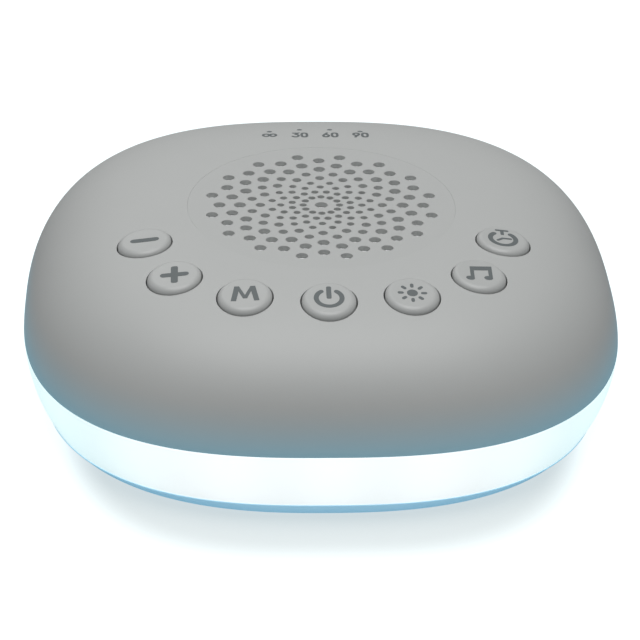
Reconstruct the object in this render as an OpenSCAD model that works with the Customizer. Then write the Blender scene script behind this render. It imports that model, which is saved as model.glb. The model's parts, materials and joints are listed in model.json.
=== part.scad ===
// Bedside white noise sound machine.
// A rounded-square housing with a round speaker grille and an arc of seven
// press buttons stands on a glowing band and a shallow base tray.
// Millimetres. The origin is under the middle of the body, on the surface it
// stands on; +X is to the right, -Y to the front, where the buttons are, +Z up.

/* [Body] */
// Width and depth of the body at the seam above the light band
body_w = 105; // [102:0.5:112]
// Squareness of the plan, as a superellipse exponent (2 is a circle)
plan_n = 2.64; // [2.5:0.02:3]
// Height of the domed top housing above the light band
dome_h = 20.15; // [19:0.05:24]
// How far out the top stays flat, as an exponent
dome_q = 5.58; // [5:0.02:6.5]
// How full the shoulder is, as an exponent
dome_m = 1.71; // [1.6:0.01:2]
// Wall of the top housing
shell_wall = 2.2; // [1.8:0.1:2.4]

/* [Light band] */
// Height of the glowing band
band_h = 11.03; // [10:0.05:14]
// Width of the band where it meets the base
band_bottom_w = 99; // [98:0.5:101]
// Squareness of the band where it meets the base
band_bottom_n = 2.58; // [2.4:0.02:2.8]
// How far the band swells between its two edges
band_bulge = 0.63; // [0.2:0.05:1]
// Wall of the band
band_wall = 2.2; // [1.6:0.1:2.4]
// Height of the tongue that stands up inside the housing
tongue_h = 2; // [1.5:0.1:3]
// Thickness of that tongue
tongue_t = 1.2; // [0.9:0.1:1.5]

/* [Base] */
// Height of the base tray's visible rim, which is also its floor's thickness
rim_h = 2.15; // [1.9:0.05:2.6]
// Width of the rim at its lower edge
rim_bottom_w = 97; // [96:0.5:98]
// Squareness of the rim at its lower edge
rim_bottom_n = 2.45; // [2.4:0.02:2.6]
// Height of the lip that centres the light band
lip_h = 1.6; // [1:0.1:2.4]
// Thickness of that lip
lip_t = 1.2; // [0.9:0.1:1.4]
// Distance of the case screws and feet from each centre line
corner_at = 32.2; // [32:0.1:33.5]
// Diameter of a rubber foot
foot_d = 8; // [7.5:0.5:9.5]
// How far a foot stands out below the rim
foot_proud = 1.5; // [1.2:0.1:2.5]
// Depth of the recess that holds a foot
foot_recess = 0.9; // [0.7:0.1:1.1]

/* [Grille] */
// Diameter of the grille disc
grille_d = 47.1; // [46:0.1:48]
// Thickness of the grille disc
grille_t = 1; // [0.8:0.1:1.8]
// Gap round the grille disc
grille_gap = 0.05; // [0.05:0.05:0.25]
// Diameter of the middle hole
centre_hole_d = 2.2; // [1.8:0.1:2.4]
// Diameter of the holes in the four inner rings
small_hole_d = 1.25; // [1:0.05:1.4]
// Diameter of the holes in the next two rings
mid_hole_d = 1.6; // [1.4:0.05:1.8]
// Diameter of the holes in the four outer rings
large_hole_d = 2.05; // [1.8:0.05:2.2]
// Holes in every ring but the first
ring_holes = 16; // [14:1:16]
// Holes in the first ring
first_ring_holes = 12; // [10:1:12]
// Radius of the first ring of holes
first_ring_r = 3.2; // [3:0.1:3.4]
// Radius of the second ring, the first of the staggered ones
second_ring_r = 5.2; // [5.1:0.05:5.3]
// Radius of the third ring, the first of the straight ones
third_ring_r = 7.13; // [7:0.05:7.25]
// Radial step between every other ring
ring_step = 3.59; // [3.5:0.01:3.62]
// Turn of the whole pattern of holes
grille_deg = -0.65; // [-2:0.05:2]

/* [Buttons] */
// Diameter of a button cap
cap_d = 9.2; // [9:0.1:10.2]
// Gap round a button cap
cap_gap = 0.2; // [0.2:0.05:0.35]
// How far a cap stands out of the housing at its middle
cap_proud = 0.7; // [0.6:0.1:1.6]
// Radius of a cap's rounded rim
cap_round = 1; // [0.6:0.1:1.2]
// Travel of a button
cap_travel = 0.4; // [0.2:0.05:0.5]
// Angle from the middle button to the two beside it
button_near_deg = 23.5; // [23:0.1:24]
// Angle from the middle button to the two corner buttons
button_corner_deg = 45.4; // [45:0.1:45.8]
// Angle from the middle button to the two end buttons
button_end_deg = 67.1; // [66.8:0.1:67.6]
// Distance from the centre of the middle button
button_r_mid = 33.7; // [33.4:0.1:34.5]
// Distance from the centre of the two buttons beside it
button_r_near = 35; // [34.6:0.1:35.6]
// Distance from the centre of the two corner buttons
button_r_corner = 36.1; // [35.8:0.1:36.6]
// Distance from the centre of the two end buttons
button_r_end = 33.5; // [33.4:0.05:33.9]
// Wall of the tube that guides a cap
guide_wall = 1.15; // [0.9:0.05:1.2]
// Depth of the guides below the crown of the housing
guide_depth = 6; // [5.8:0.1:6.4]
// Width of the flange that keeps a cap in its guide
flange_w = 0.9; // [0.7:0.05:1]
// Thickness of that flange
flange_t = 1; // [0.8:0.1:1.2]
// Wall of a cap
cap_wall = 1.3; // [1:0.1:1.6]
// Diameter of a cap's stem
stem_d = 3; // [2.6:0.1:3.4]
// Length of the stem below the flange
stem_l = 1.8; // [1.4:0.1:2.4]

/* [Key board] */
// Thickness of every circuit board
board_t = 1.6; // [1.2:0.1:1.8]
// Height of a key switch over its plunger
switch_h = 5; // [4.6:0.1:5.2]
// Height of a key switch's case
switch_case_h = 3.5; // [3:0.1:3.8]
// Width of a key switch's case
switch_w = 6; // [5.6:0.1:6.2]
// Diameter of a switch plunger
plunger_d = 3.4; // [3:0.1:3.6]
// Inner radius of the key board
key_board_r_in = 28.9; // [28.6:0.1:29.4]
// Outer radius of the key board
key_board_r_out = 43; // [42.8:0.1:43.2]
// Distance of the key board's screws from the centre
key_screw_r = 40.3; // [40.1:0.1:40.4]

/* [Speaker] */
// Diameter of the speaker's flange
speaker_d = 44; // [43.6:0.1:44.2]
// Thickness of that flange
speaker_flange_t = 1.2; // [1:0.1:1.4]
// Height of the speaker over its flange
speaker_h = 17; // [16:0.1:18]
// Diameter of the magnet
magnet_d = 25; // [23:0.5:26]
// Thickness of the magnet
magnet_t = 4.5; // [4:0.1:5]
// Thickness of the two magnet plates
plate_t = 1.5; // [1.2:0.1:1.6]
// Thickness of the foam gasket
gasket_t = 2; // [1.8:0.1:2.4]
// Width of the foam gasket
gasket_w = 1.1; // [0.9:0.05:1.2]
// Thickness of the dust mesh
mesh_t = 0.3; // [0.2:0.05:0.4]
// Wall of the well that the speaker sits in
well_wall = 4; // [3.8:0.1:4.2]
// Thickness of the ring that holds the speaker
retainer_t = 2; // [1.2:0.1:2.2]

/* [Lights] */
// Radius of the ring that carries the band's lights
carrier_r = 41; // [40.5:0.1:41.2]
// Wall of that ring
carrier_t = 1.5; // [1.2:0.1:1.8]
// Height of that ring
carrier_h = 9.4; // [9:0.1:10]
// Number of lights behind the band
band_led_count = 20; // [16:1:24]
// Width of a light behind the band
band_led_w = 3.5; // [3:0.1:3.6]
// Height of a light behind the band
band_led_h = 2.8; // [2.4:0.1:3]
// Depth of a light behind the band
band_led_t = 1.6; // [1.2:0.1:1.8]
// Spacing of the four timer lights
timer_step = 5.6; // [5.4:0.1:5.8]
// Distance of the timer lights in from the back edge
timer_in = 19.7; // [19.5:0.1:20.1]
// Diameter of a timer light pipe
pipe_d = 0.9; // [0.8:0.05:1.1]

/* [Power inlet] */
// Height of the inlet's middle above the surface
inlet_z = 19.5; // [19:0.1:20]
// Width of the inlet's metal shell
inlet_w = 8.94; // [8.8:0.02:9]
// Height of the inlet's metal shell
inlet_h = 3.26; // [3.2:0.02:3.3]
// Depth of the inlet's metal shell
inlet_l = 7.4; // [7.2:0.1:8]
// Wall of the metal shell
inlet_wall = 0.3; // [0.25:0.05:0.35]
// Set-back of the inlet's mouth from the housing's widest point
inlet_set = 2.4; // [2.2:0.1:2.8]

/* [Hidden] */

$fn = 64;
eps = 0.01;
// running and fitting clearances
fit = 0.05;
slip = 0.2;

// heights, from the surface up
rim_z = foot_proud;
band_z = rim_z + rim_h;
seam_z = band_z + band_h;
crown_z = seam_z + dome_h;

// the speaker's stack, from the grille down
grille_drop = 0.1;
grille_top = crown_z - grille_drop;
grille_under = grille_top - grille_t;
mesh_under = grille_under - mesh_t;
flange_top = mesh_under - gasket_t;
flange_under = flange_top - speaker_flange_t;
retainer_under = flange_under - retainer_t;
yoke_under = flange_top - speaker_h;
magnet_under = yoke_under + plate_t;
top_plate_under = magnet_under + magnet_t;
basket_under = top_plate_under + plate_t;
speaker_r = speaker_d / 2;
well_r = speaker_r + slip;

// the buttons' stack, from the guides down
guide_under = crown_z - guide_depth;
cap_r = cap_d / 2;
guide_r = cap_r + cap_gap;
flange_under_cap = guide_under - flange_t;
plunger_top = flange_under_cap - stem_l;
key_board_top = plunger_top - switch_h;
key_board_back = 3;
button_r = [button_r_mid, button_r_near, button_r_corner, button_r_end];
button_deg = [0, button_near_deg, button_corner_deg, button_end_deg];

// small self-tapping board screws
board_screw_r = 0.95;
board_screw_l = 5;
board_head_r = 1.9;
board_head_h = 1.3;
pilot_r = board_screw_r + fit;
boss_r = 2.2;
key_screw_near = button_near_deg / 2;
key_screw_far = (button_corner_deg + button_end_deg) / 2;
key_screw_turns = [-key_screw_far, -key_screw_near, key_screw_near, key_screw_far];
retainer_screw_r = well_r + well_wall / 2;

// case screws, whose heads are hidden above the feet
case_screw_r = 1.2;
case_screw_l = 9;
case_head_r = 2.3;
case_head_h = 1.5;
case_boss_r = 2.8;
case_post_h = 2.4;
case_post_top = band_z + case_post_h;
foot_r = foot_d / 2;
foot_top = rim_z + foot_recess;

// the board in the base
board_margin = 3.5;
main_screw_in = 2.77;
main_board_r = carrier_r - carrier_t - board_margin;
main_post_h = 3.3;
main_board_z = band_z + main_post_h;
main_board_top = main_board_z + board_t;
main_screw_at = (main_board_r - main_screw_in) / sqrt(2);

// the timer lights' board
indicator_l = 34;
indicator_w = 8.4;
indicator_screw_x = 14;
timer_r = body_w / 2 - timer_in;
indicator_back = 0.6;
indicator_y = timer_r - indicator_back;
indicator_room = 1.6;
indicator_top = room_z(indicator_l / 2, indicator_y + indicator_w / 2) - indicator_room;
indicator_led_h = 0.8;
pipe_bar_t = 1.2;
pipe_bar_w = 3.2;
pipe_bar_l = 3 * timer_step + 3;
pipe_bar_room = 0.25;
pipe_bar_top = room_z(pipe_bar_l / 2, indicator_y + pipe_bar_w / 2) - pipe_bar_room;

// the power inlet's board
power_board_top = inlet_z - inlet_h / 2;
power_board_w = 26;
inlet_mouth_y = body_w / 2 - inlet_set;
power_board_back = inlet_mouth_y - 3;
power_board_l = 14;
power_screw_x = 10.2;
power_screw_y = power_board_back - 6.4;
power_lead_y = power_board_back - 10;

// the speaker's basket, cone and magnet
basket_low_r = 12;
basket_top_r = 20.2;
basket_hole_r = 8.4;
basket_t = 0.9;
window_w = 8;
window_h = 4.4;
window_rise = 2.2;
land_r = 20.8;
land_drop = 0.8;
land_z = flange_top - land_drop;
surround_r = 19.4;
surround_in_r = 16;
surround_t = 0.4;
cone_r = surround_in_r - slip;
cone_t = 0.5;
neck_r = 6.75;
neck_z = basket_under + 4.4;
coil_t = 0.4;
spider_r = 12.3;
spider_rise = 2;
spider_t = 0.3;
top_plate_r = 11;
magnet_hole_r = 8.2;
yoke_r = 11.4;
pole_r = 5.8;
cap_base_r = 7.6;
cap_ball_r = 9.5;
cap_base_z = neck_z + (cap_base_r - neck_r) * (land_z - neck_z)
    / (cone_r - 1 - neck_r) + fit;
cap_ball_z = cap_base_z - sqrt(cap_ball_r * cap_ball_r - cap_base_r * cap_base_r);

// the terminal tag lies on the basket's sloping wall, between two windows
tag_turn = -30;
tag_rise = 4;
tag_w = 7;
tag_l = 4;
tag_t = 0.8;
wall_fall = atan2(basket_top_r - basket_low_r, flange_under - basket_under);
tag_out = [cos(tag_turn) * cos(wall_fall), sin(tag_turn) * cos(wall_fall), -sin(wall_fall)];
tag_side = [-sin(tag_turn), cos(tag_turn), 0];
tag_r = basket_low_r + tag_rise * tan(wall_fall);
tag_at = [tag_r * cos(tag_turn), tag_r * sin(tag_turn), basket_under + tag_rise];
tag_lead_out = 5;
tag_lead_gap = 1.8;

// the key switches' plungers stand above this floor
plunger_floor = 1.2;

// the band's light strip and the notch that its leads pass
led_z = band_z + 5;
strip_h = 7;
strip_t = 0.2;
notch_turn = 20;
notch_w = 5;
notch_h = 2;

// pieces on the board in the base, as places and sizes
connector_h = 3.6;
connector_w = 4;
connector_l = 6;
ribbon_connector_l = 11;
edge_in = 7;
ribbon_end = [0, edge_in - main_board_r, main_board_top + connector_h];
speaker_end = [main_board_r - 11, -14, main_board_top + connector_h];
power_end = [6, main_board_r - edge_in, main_board_top + connector_h];
strip_end = [main_board_r - 6.5, 11, main_board_top + connector_h];
ribbon_r = (key_board_r_in + key_board_r_out) / 2;
lead_gap = 1.2;
// how far leads run straight out of their plugs, and how far they come in below a board
ribbon_out = 4;
speaker_lead_out = 5;
thin_lead_out = 3;
ribbon_drop = 5;
power_drop = 4;
strip_reach = 6;
chips = [[0, 0, 9, 9, 1.4], [-14, 6, 6, 5, 1.6], [14, -6, 5, 6, 1.5]];
cans = [[-20, -12, 6.3], [-12, -20, 6.3], [22, 6, 5]];
can_h = 5.4;
coil = [8, 14, 7, 7, 3.2];

// inner outlines
band_inner_a = band_bottom_w / 2 - band_wall;
tongue_outer_a = body_w / 2 - shell_wall - slip - fit;
tongue_inner_a = tongue_outer_a - tongue_t;
lip_outer_a = band_inner_a - slip;

// lead and ribbon sizes
lead_r = 0.6;
ribbon_w = 8;
ribbon_t = 0.6;
lead_steps = 14;

// facets round the rounded-square outlines
around = 64;

// ---- geometry helpers ----

// radius of a rounded-square outline in one direction
function plan_r(a, n, t) =
    a / pow(pow(abs(cos(t)), n) + pow(abs(sin(t)), n), 1 / n);

// one level outline of half width a at height z
function outline(a, n, z) = [
    for (i = [0 : around - 1])
        let (t = 360 * i / around, r = plan_r(a, n, t))
            [r * cos(t), r * sin(t), z]
];

// faces over a stack of outlines, closed by caps or, if looped, on itself
function skin(rings, count, looped) = concat(
    [for (k = [0 : rings - (looped ? 1 : 2)], j = [0 : count - 1])
        let (k2 = (k + 1) % rings, j2 = (j + 1) % count)
            [k * count + j, k2 * count + j, k2 * count + j2]],
    [for (k = [0 : rings - (looped ? 1 : 2)], j = [0 : count - 1])
        let (k2 = (k + 1) % rings, j2 = (j + 1) % count)
            [k * count + j, k2 * count + j2, k * count + j2]],
    looped ? [] : [[for (j = [0 : count - 1]) j]],
    looped ? [] : [[for (j = [count - 1 : -1 : 0]) (rings - 1) * count + j]]
);

module loft(rings, looped = false) {
    polyhedron(
        points = [for (ring = rings) for (p = ring) p],
        faces = skin(len(rings), len(rings[0]), looped),
        convexity = 6);
}

// the dome's outlines from the seam to the crown, for half width a, height h
dome_turns = [for (k = [90 : -6 : 12]) k, 8, 5];
function dome_rings(a, h) = [
    for (k = dome_turns)
        outline(a * pow(sin(k), 2 / dome_q), plan_n,
            seam_z + h * pow(cos(k), 2 / dome_m))
];

// height over a point of the plan of a dome of half width a and height h
function domed(x, y, a, h) =
    let (s = pow(pow(abs(x), plan_n) + pow(abs(y), plan_n), 1 / plan_n),
        u = max(0, 1 - pow(s / a, dome_q)))
    seam_z + h * pow(u, 1 / dome_m);

// height of the dome's outer surface, and of the room inside it
function dome_z(x, y) = domed(x, y, body_w / 2, dome_h);
function room_z(x, y) = domed(x, y, body_w / 2 - shell_wall, dome_h - shell_wall);

// direction of steepest fall and slope of the dome over a point
function dome_grad(x, y) = [
    (dome_z(x + 0.1, y) - dome_z(x - 0.1, y)) / 0.2,
    (dome_z(x, y + 0.1) - dome_z(x, y - 0.1)) / 0.2
];

// plan place of button number i, -3 to 3 from left to right
function button_angle(i) = -90 + sign(i) * button_deg[abs(i)];
function button_at(i) =
    button_r[abs(i)] * [cos(button_angle(i)), sin(button_angle(i))];

// plan places that several pieces share
corner_places = [for (sx = [-1, 1], sy = [-1, 1]) corner_at * [sx, sy]];
main_screw_places = [for (sx = [-1, 1], sy = [-1, 1]) main_screw_at * [sx, sy]];
key_screw_places = [
    for (t = key_screw_turns) key_screw_r * [sin(t), -cos(t)]
];
retainer_screw_places = [
    for (t = [45 : 90 : 315]) retainer_screw_r * [cos(t), sin(t)]
];
indicator_screw_places = [for (s = [-1, 1]) [s * indicator_screw_x, indicator_y]];
power_screw_places = [for (s = [-1, 1]) [s * power_screw_x, power_screw_y]];
timer_places = [
    for (i = [-1.5 : 1 : 1.5])
        let (x = i * timer_step) [x, sqrt(timer_r * timer_r - x * x)]
];

// a point on a cubic curve through four control points
function bez(p, t) =
    pow(1 - t, 3) * p[0] + 3 * t * pow(1 - t, 2) * p[1]
    + 3 * t * t * (1 - t) * p[2] + pow(t, 3) * p[3];
function bez_dir(p, t) =
    let (d = 3 * pow(1 - t, 2) * (p[1] - p[0]) + 6 * t * (1 - t) * (p[2] - p[1])
        + 3 * t * t * (p[3] - p[2]))
    d / norm(d);

// a tube of the given section along a cubic curve; side keeps it from twisting
function lead_ring(p, t, section, side) =
    let (d = bez_dir(p, t), across = cross(side, d), u = across / norm(across),
        v = cross(d, u), c = bez(p, t))
    [for (q = section) c + q[0] * u + q[1] * v];

module lead(p, section, side) {
    loft([for (k = [0 : lead_steps]) lead_ring(p, k / lead_steps, section, side)]);
}

wire_section = [for (t = [0 : 45 : 315]) lead_r * [cos(t), sin(t)]];
ribbon_section = [
    [ribbon_t / 2, -ribbon_w / 2], [ribbon_t / 2, ribbon_w / 2],
    [-ribbon_t / 2, ribbon_w / 2], [-ribbon_t / 2, -ribbon_w / 2]
];

// a flat slot with round ends, along Y, its middle at the origin
module slot_bar(w, h, l) {
    rotate([-90, 0, 0])
        linear_extrude(l)
            union() {
                square([w - h, h], center = true);
                for (s = [-1, 1])
                    translate([s * (w - h) / 2, 0]) circle(d = h);
            }
}

module ring(r_out, r_in, h) {
    difference() {
        cylinder(r = r_out, h = h);
        translate([0, 0, -1]) cylinder(r = r_in, h = h + 2);
    }
}

// a screw with its head above z = 0 and its shank below
module screw(r, l, head_r, head_h) {
    difference() {
        cylinder(r = head_r, h = head_h);
        for (t = [0, 90])
            rotate(t)
                translate([-head_r * 0.6, -0.25, head_h * 0.45])
                    cube([head_r * 1.2, 0.5, head_h]);
    }
    translate([0, 0, -l]) cylinder(r = r, h = l + eps);
}

module small_screw() {
    screw(board_screw_r, board_screw_l, board_head_r, board_head_h);
}

// ---- casing ----

// the filled shape of the dome
module dome_body() {
    loft(dome_rings(body_w / 2, dome_h));
}

// the room inside the dome, open at the seam
module dome_room() {
    a = body_w / 2 - shell_wall;
    loft(concat([outline(a, plan_n, seam_z - 1)],
        dome_rings(a, dome_h - shell_wall)));
}

// bosses and guides that hang from the dome into its room
module dome_fittings() {
    for (i = [-3 : 3])
        translate([button_at(i)[0], button_at(i)[1], guide_under])
            cylinder(r = guide_r + guide_wall, h = guide_depth);
    translate([0, 0, flange_under])
        cylinder(r = well_r + well_wall, h = crown_z - flange_under);
    for (p = key_screw_places)
        translate([p[0], p[1], key_board_top])
            cylinder(r = boss_r, h = crown_z - key_board_top);
    for (p = indicator_screw_places)
        translate([p[0], p[1], indicator_top])
            cylinder(r = boss_r, h = crown_z - indicator_top);
    for (p = power_screw_places)
        translate([p[0], p[1], power_board_top])
            cylinder(r = boss_r, h = crown_z - power_board_top);
    for (p = corner_places)
        translate([p[0], p[1], seam_z - 2])
            cylinder(r = case_boss_r, h = crown_z - seam_z);
}

module top_housing() {
    color("#b3b5b4")
    difference() {
        union() {
            difference() {
                dome_body();
                difference() {
                    dome_room();
                    dome_fittings();
                }
            }
            for (p = corner_places)
                translate([p[0], p[1], case_post_top])
                    cylinder(r = case_boss_r, h = seam_z - case_post_top + 1);
        }
        // speaker well and grille seat
        translate([0, 0, flange_under - 1])
            cylinder(r = well_r, h = crown_z);
        translate([0, 0, grille_under])
            cylinder(r = grille_d / 2 + grille_gap, h = crown_z);
        // button guides
        for (i = [-3 : 3])
            translate([button_at(i)[0], button_at(i)[1], guide_under - 1])
                cylinder(r = guide_r, h = guide_depth + 5);
        // timer light holes
        for (p = timer_places)
            translate([p[0], p[1], indicator_top])
                cylinder(r = pipe_d / 2 + fit, h = crown_z, $fn = 24);
        // pilot holes
        for (p = key_screw_places)
            translate([p[0], p[1], key_board_top - 1])
                cylinder(r = pilot_r, h = board_screw_l + 1, $fn = 24);
        for (p = indicator_screw_places)
            translate([p[0], p[1], indicator_top - 1])
                cylinder(r = pilot_r, h = board_screw_l - 0.4, $fn = 24);
        for (p = power_screw_places)
            translate([p[0], p[1], power_board_top - 1])
                cylinder(r = pilot_r, h = board_screw_l + 1, $fn = 24);
        for (p = retainer_screw_places)
            translate([p[0], p[1], retainer_under])
                cylinder(r = pilot_r, h = board_screw_l + 2 * fit, $fn = 24);
        for (p = corner_places)
            translate([p[0], p[1], case_post_top - 1])
                cylinder(r = case_screw_r + fit, h = case_screw_l, $fn = 24);
        // inlet opening
        translate([0, inlet_mouth_y - 4, inlet_z])
            slot_bar(inlet_w + 2 * slip, inlet_h + 2 * slip, 10);
    }
}

// height of the band's outer surface, 0 at the seam and 1 at the base
function band_ring(t) = outline(
    body_w / 2 * (1 - t) + band_bottom_w / 2 * t + 4 * band_bulge * t * (1 - t),
    plan_n * (1 - t) + band_bottom_n * t,
    seam_z * (1 - t) + band_z * t);

module light_ring() {
    color("#f4fdff")
    loft(concat(
        [for (k = [6 : -1 : 0]) band_ring(k / 6)],
        [outline(tongue_outer_a, plan_n, seam_z),
            outline(tongue_outer_a, plan_n, seam_z + tongue_h),
            outline(tongue_inner_a, plan_n, seam_z + tongue_h),
            outline(band_inner_a, band_bottom_n, band_z)]),
        looped = true);
}

module base_tray() {
    color("#dce6ea")
    difference() {
        union() {
            loft([outline(rim_bottom_w / 2, rim_bottom_n, rim_z),
                outline(band_bottom_w / 2, band_bottom_n, band_z)]);
            loft([outline(lip_outer_a, band_bottom_n, band_z - 0.5),
                outline(lip_outer_a, band_bottom_n, band_z + lip_h),
                outline(lip_outer_a - lip_t, band_bottom_n, band_z + lip_h),
                outline(lip_outer_a - lip_t, band_bottom_n, band_z - 0.5)],
                looped = true);
            for (p = corner_places)
                translate([p[0], p[1], band_z - 1])
                    cylinder(r = case_boss_r, h = case_post_h + 1);
            for (p = main_screw_places)
                translate([p[0], p[1], band_z - 1])
                    cylinder(r = boss_r, h = main_post_h + 1);
        }
        for (p = corner_places) {
            translate([p[0], p[1], rim_z - 1])
                cylinder(r = foot_r + fit, h = foot_recess + 1);
            translate([p[0], p[1], rim_z - 1])
                cylinder(r = case_head_r + slip, h = 1 + foot_recess + case_head_h + slip);
            translate([p[0], p[1], rim_z - 1])
                cylinder(r = case_screw_r + fit, h = 10, $fn = 24);
        }
        for (p = main_screw_places)
            translate([p[0], p[1], main_board_z - board_screw_l + board_t - 0.3])
                cylinder(r = pilot_r, h = board_screw_l, $fn = 24);
    }
}

module foot(sx, sy) {
    color("#3a3d40")
    translate([sx * corner_at, sy * corner_at, 0])
        rotate_extrude()
            polygon([[0, 0], [foot_r - 0.8, 0], [foot_r - 0.2, 0.5],
                [foot_r, foot_proud], [foot_r, foot_top], [0, foot_top]]);
}

module foot_front_left() { foot(-1, -1); }
module foot_front_right() { foot(1, -1); }
module foot_back_left() { foot(-1, 1); }
module foot_back_right() { foot(1, 1); }

module case_screws() {
    color("#8f9498")
    for (p = corner_places)
        translate([p[0], p[1], foot_top + slip + case_head_h])
            mirror([0, 0, 1])
                screw(case_screw_r, case_screw_l, case_head_r, case_head_h, $fn = 32);
}

module board_screws() {
    color("#a8adb0") {
        for (p = main_screw_places)
            translate([p[0], p[1], main_board_top]) small_screw($fn = 24);
        for (p = key_screw_places)
            translate([p[0], p[1], key_board_top - board_t])
                mirror([0, 0, 1]) small_screw($fn = 24);
        for (p = indicator_screw_places)
            translate([p[0], p[1], indicator_top - board_t])
                mirror([0, 0, 1]) small_screw($fn = 24);
        for (p = power_screw_places)
            translate([p[0], p[1], power_board_top - board_t])
                mirror([0, 0, 1]) small_screw($fn = 24);
        for (p = retainer_screw_places)
            translate([p[0], p[1], retainer_under])
                mirror([0, 0, 1]) small_screw($fn = 24);
    }
}

// ---- grille ----

module hole_ring(r, count, d, turn) {
    for (i = [0 : count - 1])
        rotate(turn + 360 * i / count)
            translate([r, 0, -1])
                cylinder(d = d, h = grille_t + 2, $fn = 24);
}

module speaker_grille() {
    color("#adafae")
    translate([0, 0, grille_under])
        difference() {
            cylinder(r = grille_d / 2, h = grille_t);
            translate([0, 0, -1]) cylinder(d = centre_hole_d, h = grille_t + 2, $fn = 24);
            hole_ring(first_ring_r, first_ring_holes, small_hole_d, grille_deg);
            for (k = [0 : 4]) {
                // staggered rings: second, fourth, sixth, eighth and tenth
                hole_ring(second_ring_r + k * ring_step, ring_holes,
                    k < 2 ? small_hole_d : k < 3 ? mid_hole_d : large_hole_d,
                    grille_deg + 180 / ring_holes);
            }
            for (k = [0 : 3]) {
                // straight rings: third, fifth, seventh and ninth
                hole_ring(third_ring_r + k * ring_step, ring_holes,
                    k < 1 ? small_hole_d : k < 2 ? mid_hole_d : large_hole_d, grille_deg);
            }
        }
}

module dust_mesh() {
    color("#5c6062")
    translate([0, 0, mesh_under])
        cylinder(r = speaker_r, h = mesh_t);
}

// ---- timer lights ----

module light_pipes() {
    color("#f2f6f7")
    union() {
        for (p = timer_places) {
            top = dome_z(p[0], p[1]) - 0.15;
            low = indicator_top + indicator_led_h + fit;
            translate([p[0], p[1], low])
                cylinder(r = pipe_d / 2, h = top - low, $fn = 24);
        }
        translate([0, indicator_y, pipe_bar_top - pipe_bar_t / 2])
            cube([pipe_bar_l, pipe_bar_w, pipe_bar_t], center = true);
    }
}

module indicator_board() {
    color("#2f6b4a")
    translate([0, indicator_y, indicator_top - board_t])
        difference() {
            translate([-indicator_l / 2, -indicator_w / 2, 0])
                cube([indicator_l, indicator_w, board_t]);
            for (s = [-1, 1])
                translate([s * indicator_screw_x, 0, -1])
                    cylinder(r = board_screw_r + slip, h = board_t + 2, $fn = 24);
        }
}

module indicator_leds() {
    color("#fdfbe8")
    for (p = timer_places)
        translate([p[0] - 0.8, p[1] - 0.4, indicator_top])
            cube([1.6, 0.8, indicator_led_h]);
}

// ---- buttons ----

module button_cap(i) {
    at = button_at(i);
    g = dome_grad(at[0], at[1]);
    fall = atan2(-g[1], -g[0]);
    tilt = atan(norm(g));
    top = dome_z(at[0], at[1]) + cap_proud;
    low = top - cap_r * tan(tilt) - cap_round;
    color("#b5b7b6")
    translate([at[0], at[1], 0])
        difference() {
            union() {
                translate([0, 0, guide_under - eps])
                    cylinder(r = cap_r, h = top + 3 - guide_under);
                translate([0, 0, flange_under_cap])
                    cylinder(r = cap_r + flange_w, h = flange_t);
            }
            // the sloping top and its rounded rim
            translate([0, 0, top])
                rotate([0, 0, fall]) rotate([0, tilt, 0]) {
                    cylinder(r = cap_d, h = 9);
                    rotate_extrude()
                        difference() {
                            translate([cap_r - cap_round, -cap_round])
                                square([cap_round + 1.2, cap_round + 1]);
                            translate([cap_r - cap_round, -cap_round])
                                circle(r = cap_round, $fn = 32);
                        }
                }
            // hollow round the stem
            translate([0, 0, flange_under_cap - 1])
                difference() {
                    cylinder(r = cap_r - cap_wall, h = low - flange_under_cap);
                    cylinder(r = stem_d / 2, h = low);
                }
        }
    color("#b5b7b6")
    translate([at[0], at[1], plunger_top])
        cylinder(r = stem_d / 2, h = low - plunger_top);
}

module button_minus() { button_cap(-3); }
module button_plus() { button_cap(-2); }
module button_mode() { button_cap(-1); }
module button_power() { button_cap(0); }
module button_light() { button_cap(1); }
module button_sound() { button_cap(2); }
module button_timer() { button_cap(3); }

module plunger(i) {
    color("#2b2d2f")
    translate([button_at(i)[0], button_at(i)[1], key_board_top + plunger_floor])
        cylinder(r = plunger_d / 2, h = switch_h - plunger_floor);
}

module plunger_minus() { plunger(-3); }
module plunger_plus() { plunger(-2); }
module plunger_mode() { plunger(-1); }
module plunger_power() { plunger(0); }
module plunger_light() { plunger(1); }
module plunger_sound() { plunger(2); }
module plunger_timer() { plunger(3); }

module key_switches() {
    color("#4a4d50")
    for (i = [-3 : 3])
        translate([button_at(i)[0], button_at(i)[1], key_board_top])
            rotate(button_angle(i))
                difference() {
                    translate([-switch_w / 2, -switch_w / 2, 0])
                        cube([switch_w, switch_w, switch_case_h]);
                    translate([0, 0, plunger_floor - cap_travel - 0.1])
                        cylinder(r = plunger_d / 2 + 2 * fit, h = switch_case_h);
                }
}

module key_board() {
    color("#2f6b4a")
    translate([0, 0, key_board_top - board_t])
        difference() {
            ring(key_board_r_out, key_board_r_in, board_t);
            translate([-key_board_r_out, -key_board_back, -1])
                cube([2 * key_board_r_out, key_board_r_out + key_board_back, board_t + 2]);
            for (p = key_screw_places)
                translate([p[0], p[1], -1])
                    cylinder(r = board_screw_r + slip, h = board_t + 2, $fn = 24);
        }
}

// ---- speaker ----

module speaker_gasket() {
    color("#33363a")
    translate([0, 0, flange_top])
        ring(speaker_r, speaker_r - gasket_w, gasket_t);
}

module speaker_basket() {
    color("#6e7276")
    difference() {
        rotate_extrude()
            polygon([[speaker_r, flange_under], [speaker_r, flange_top],
                [land_r, flange_top], [land_r, land_z], [surround_r, land_z],
                [basket_low_r - 0.6, basket_under + basket_t],
                [basket_hole_r, basket_under + basket_t],
                [basket_hole_r, basket_under], [basket_low_r, basket_under],
                [basket_top_r, flange_under]]);
        // windows in the sloping wall
        for (t = [0 : 60 : 300])
            rotate(t)
                translate([spider_r + 2 * fit, -window_w / 2, basket_under + window_rise])
                    cube([window_w, window_w, window_h]);
    }
}

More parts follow.
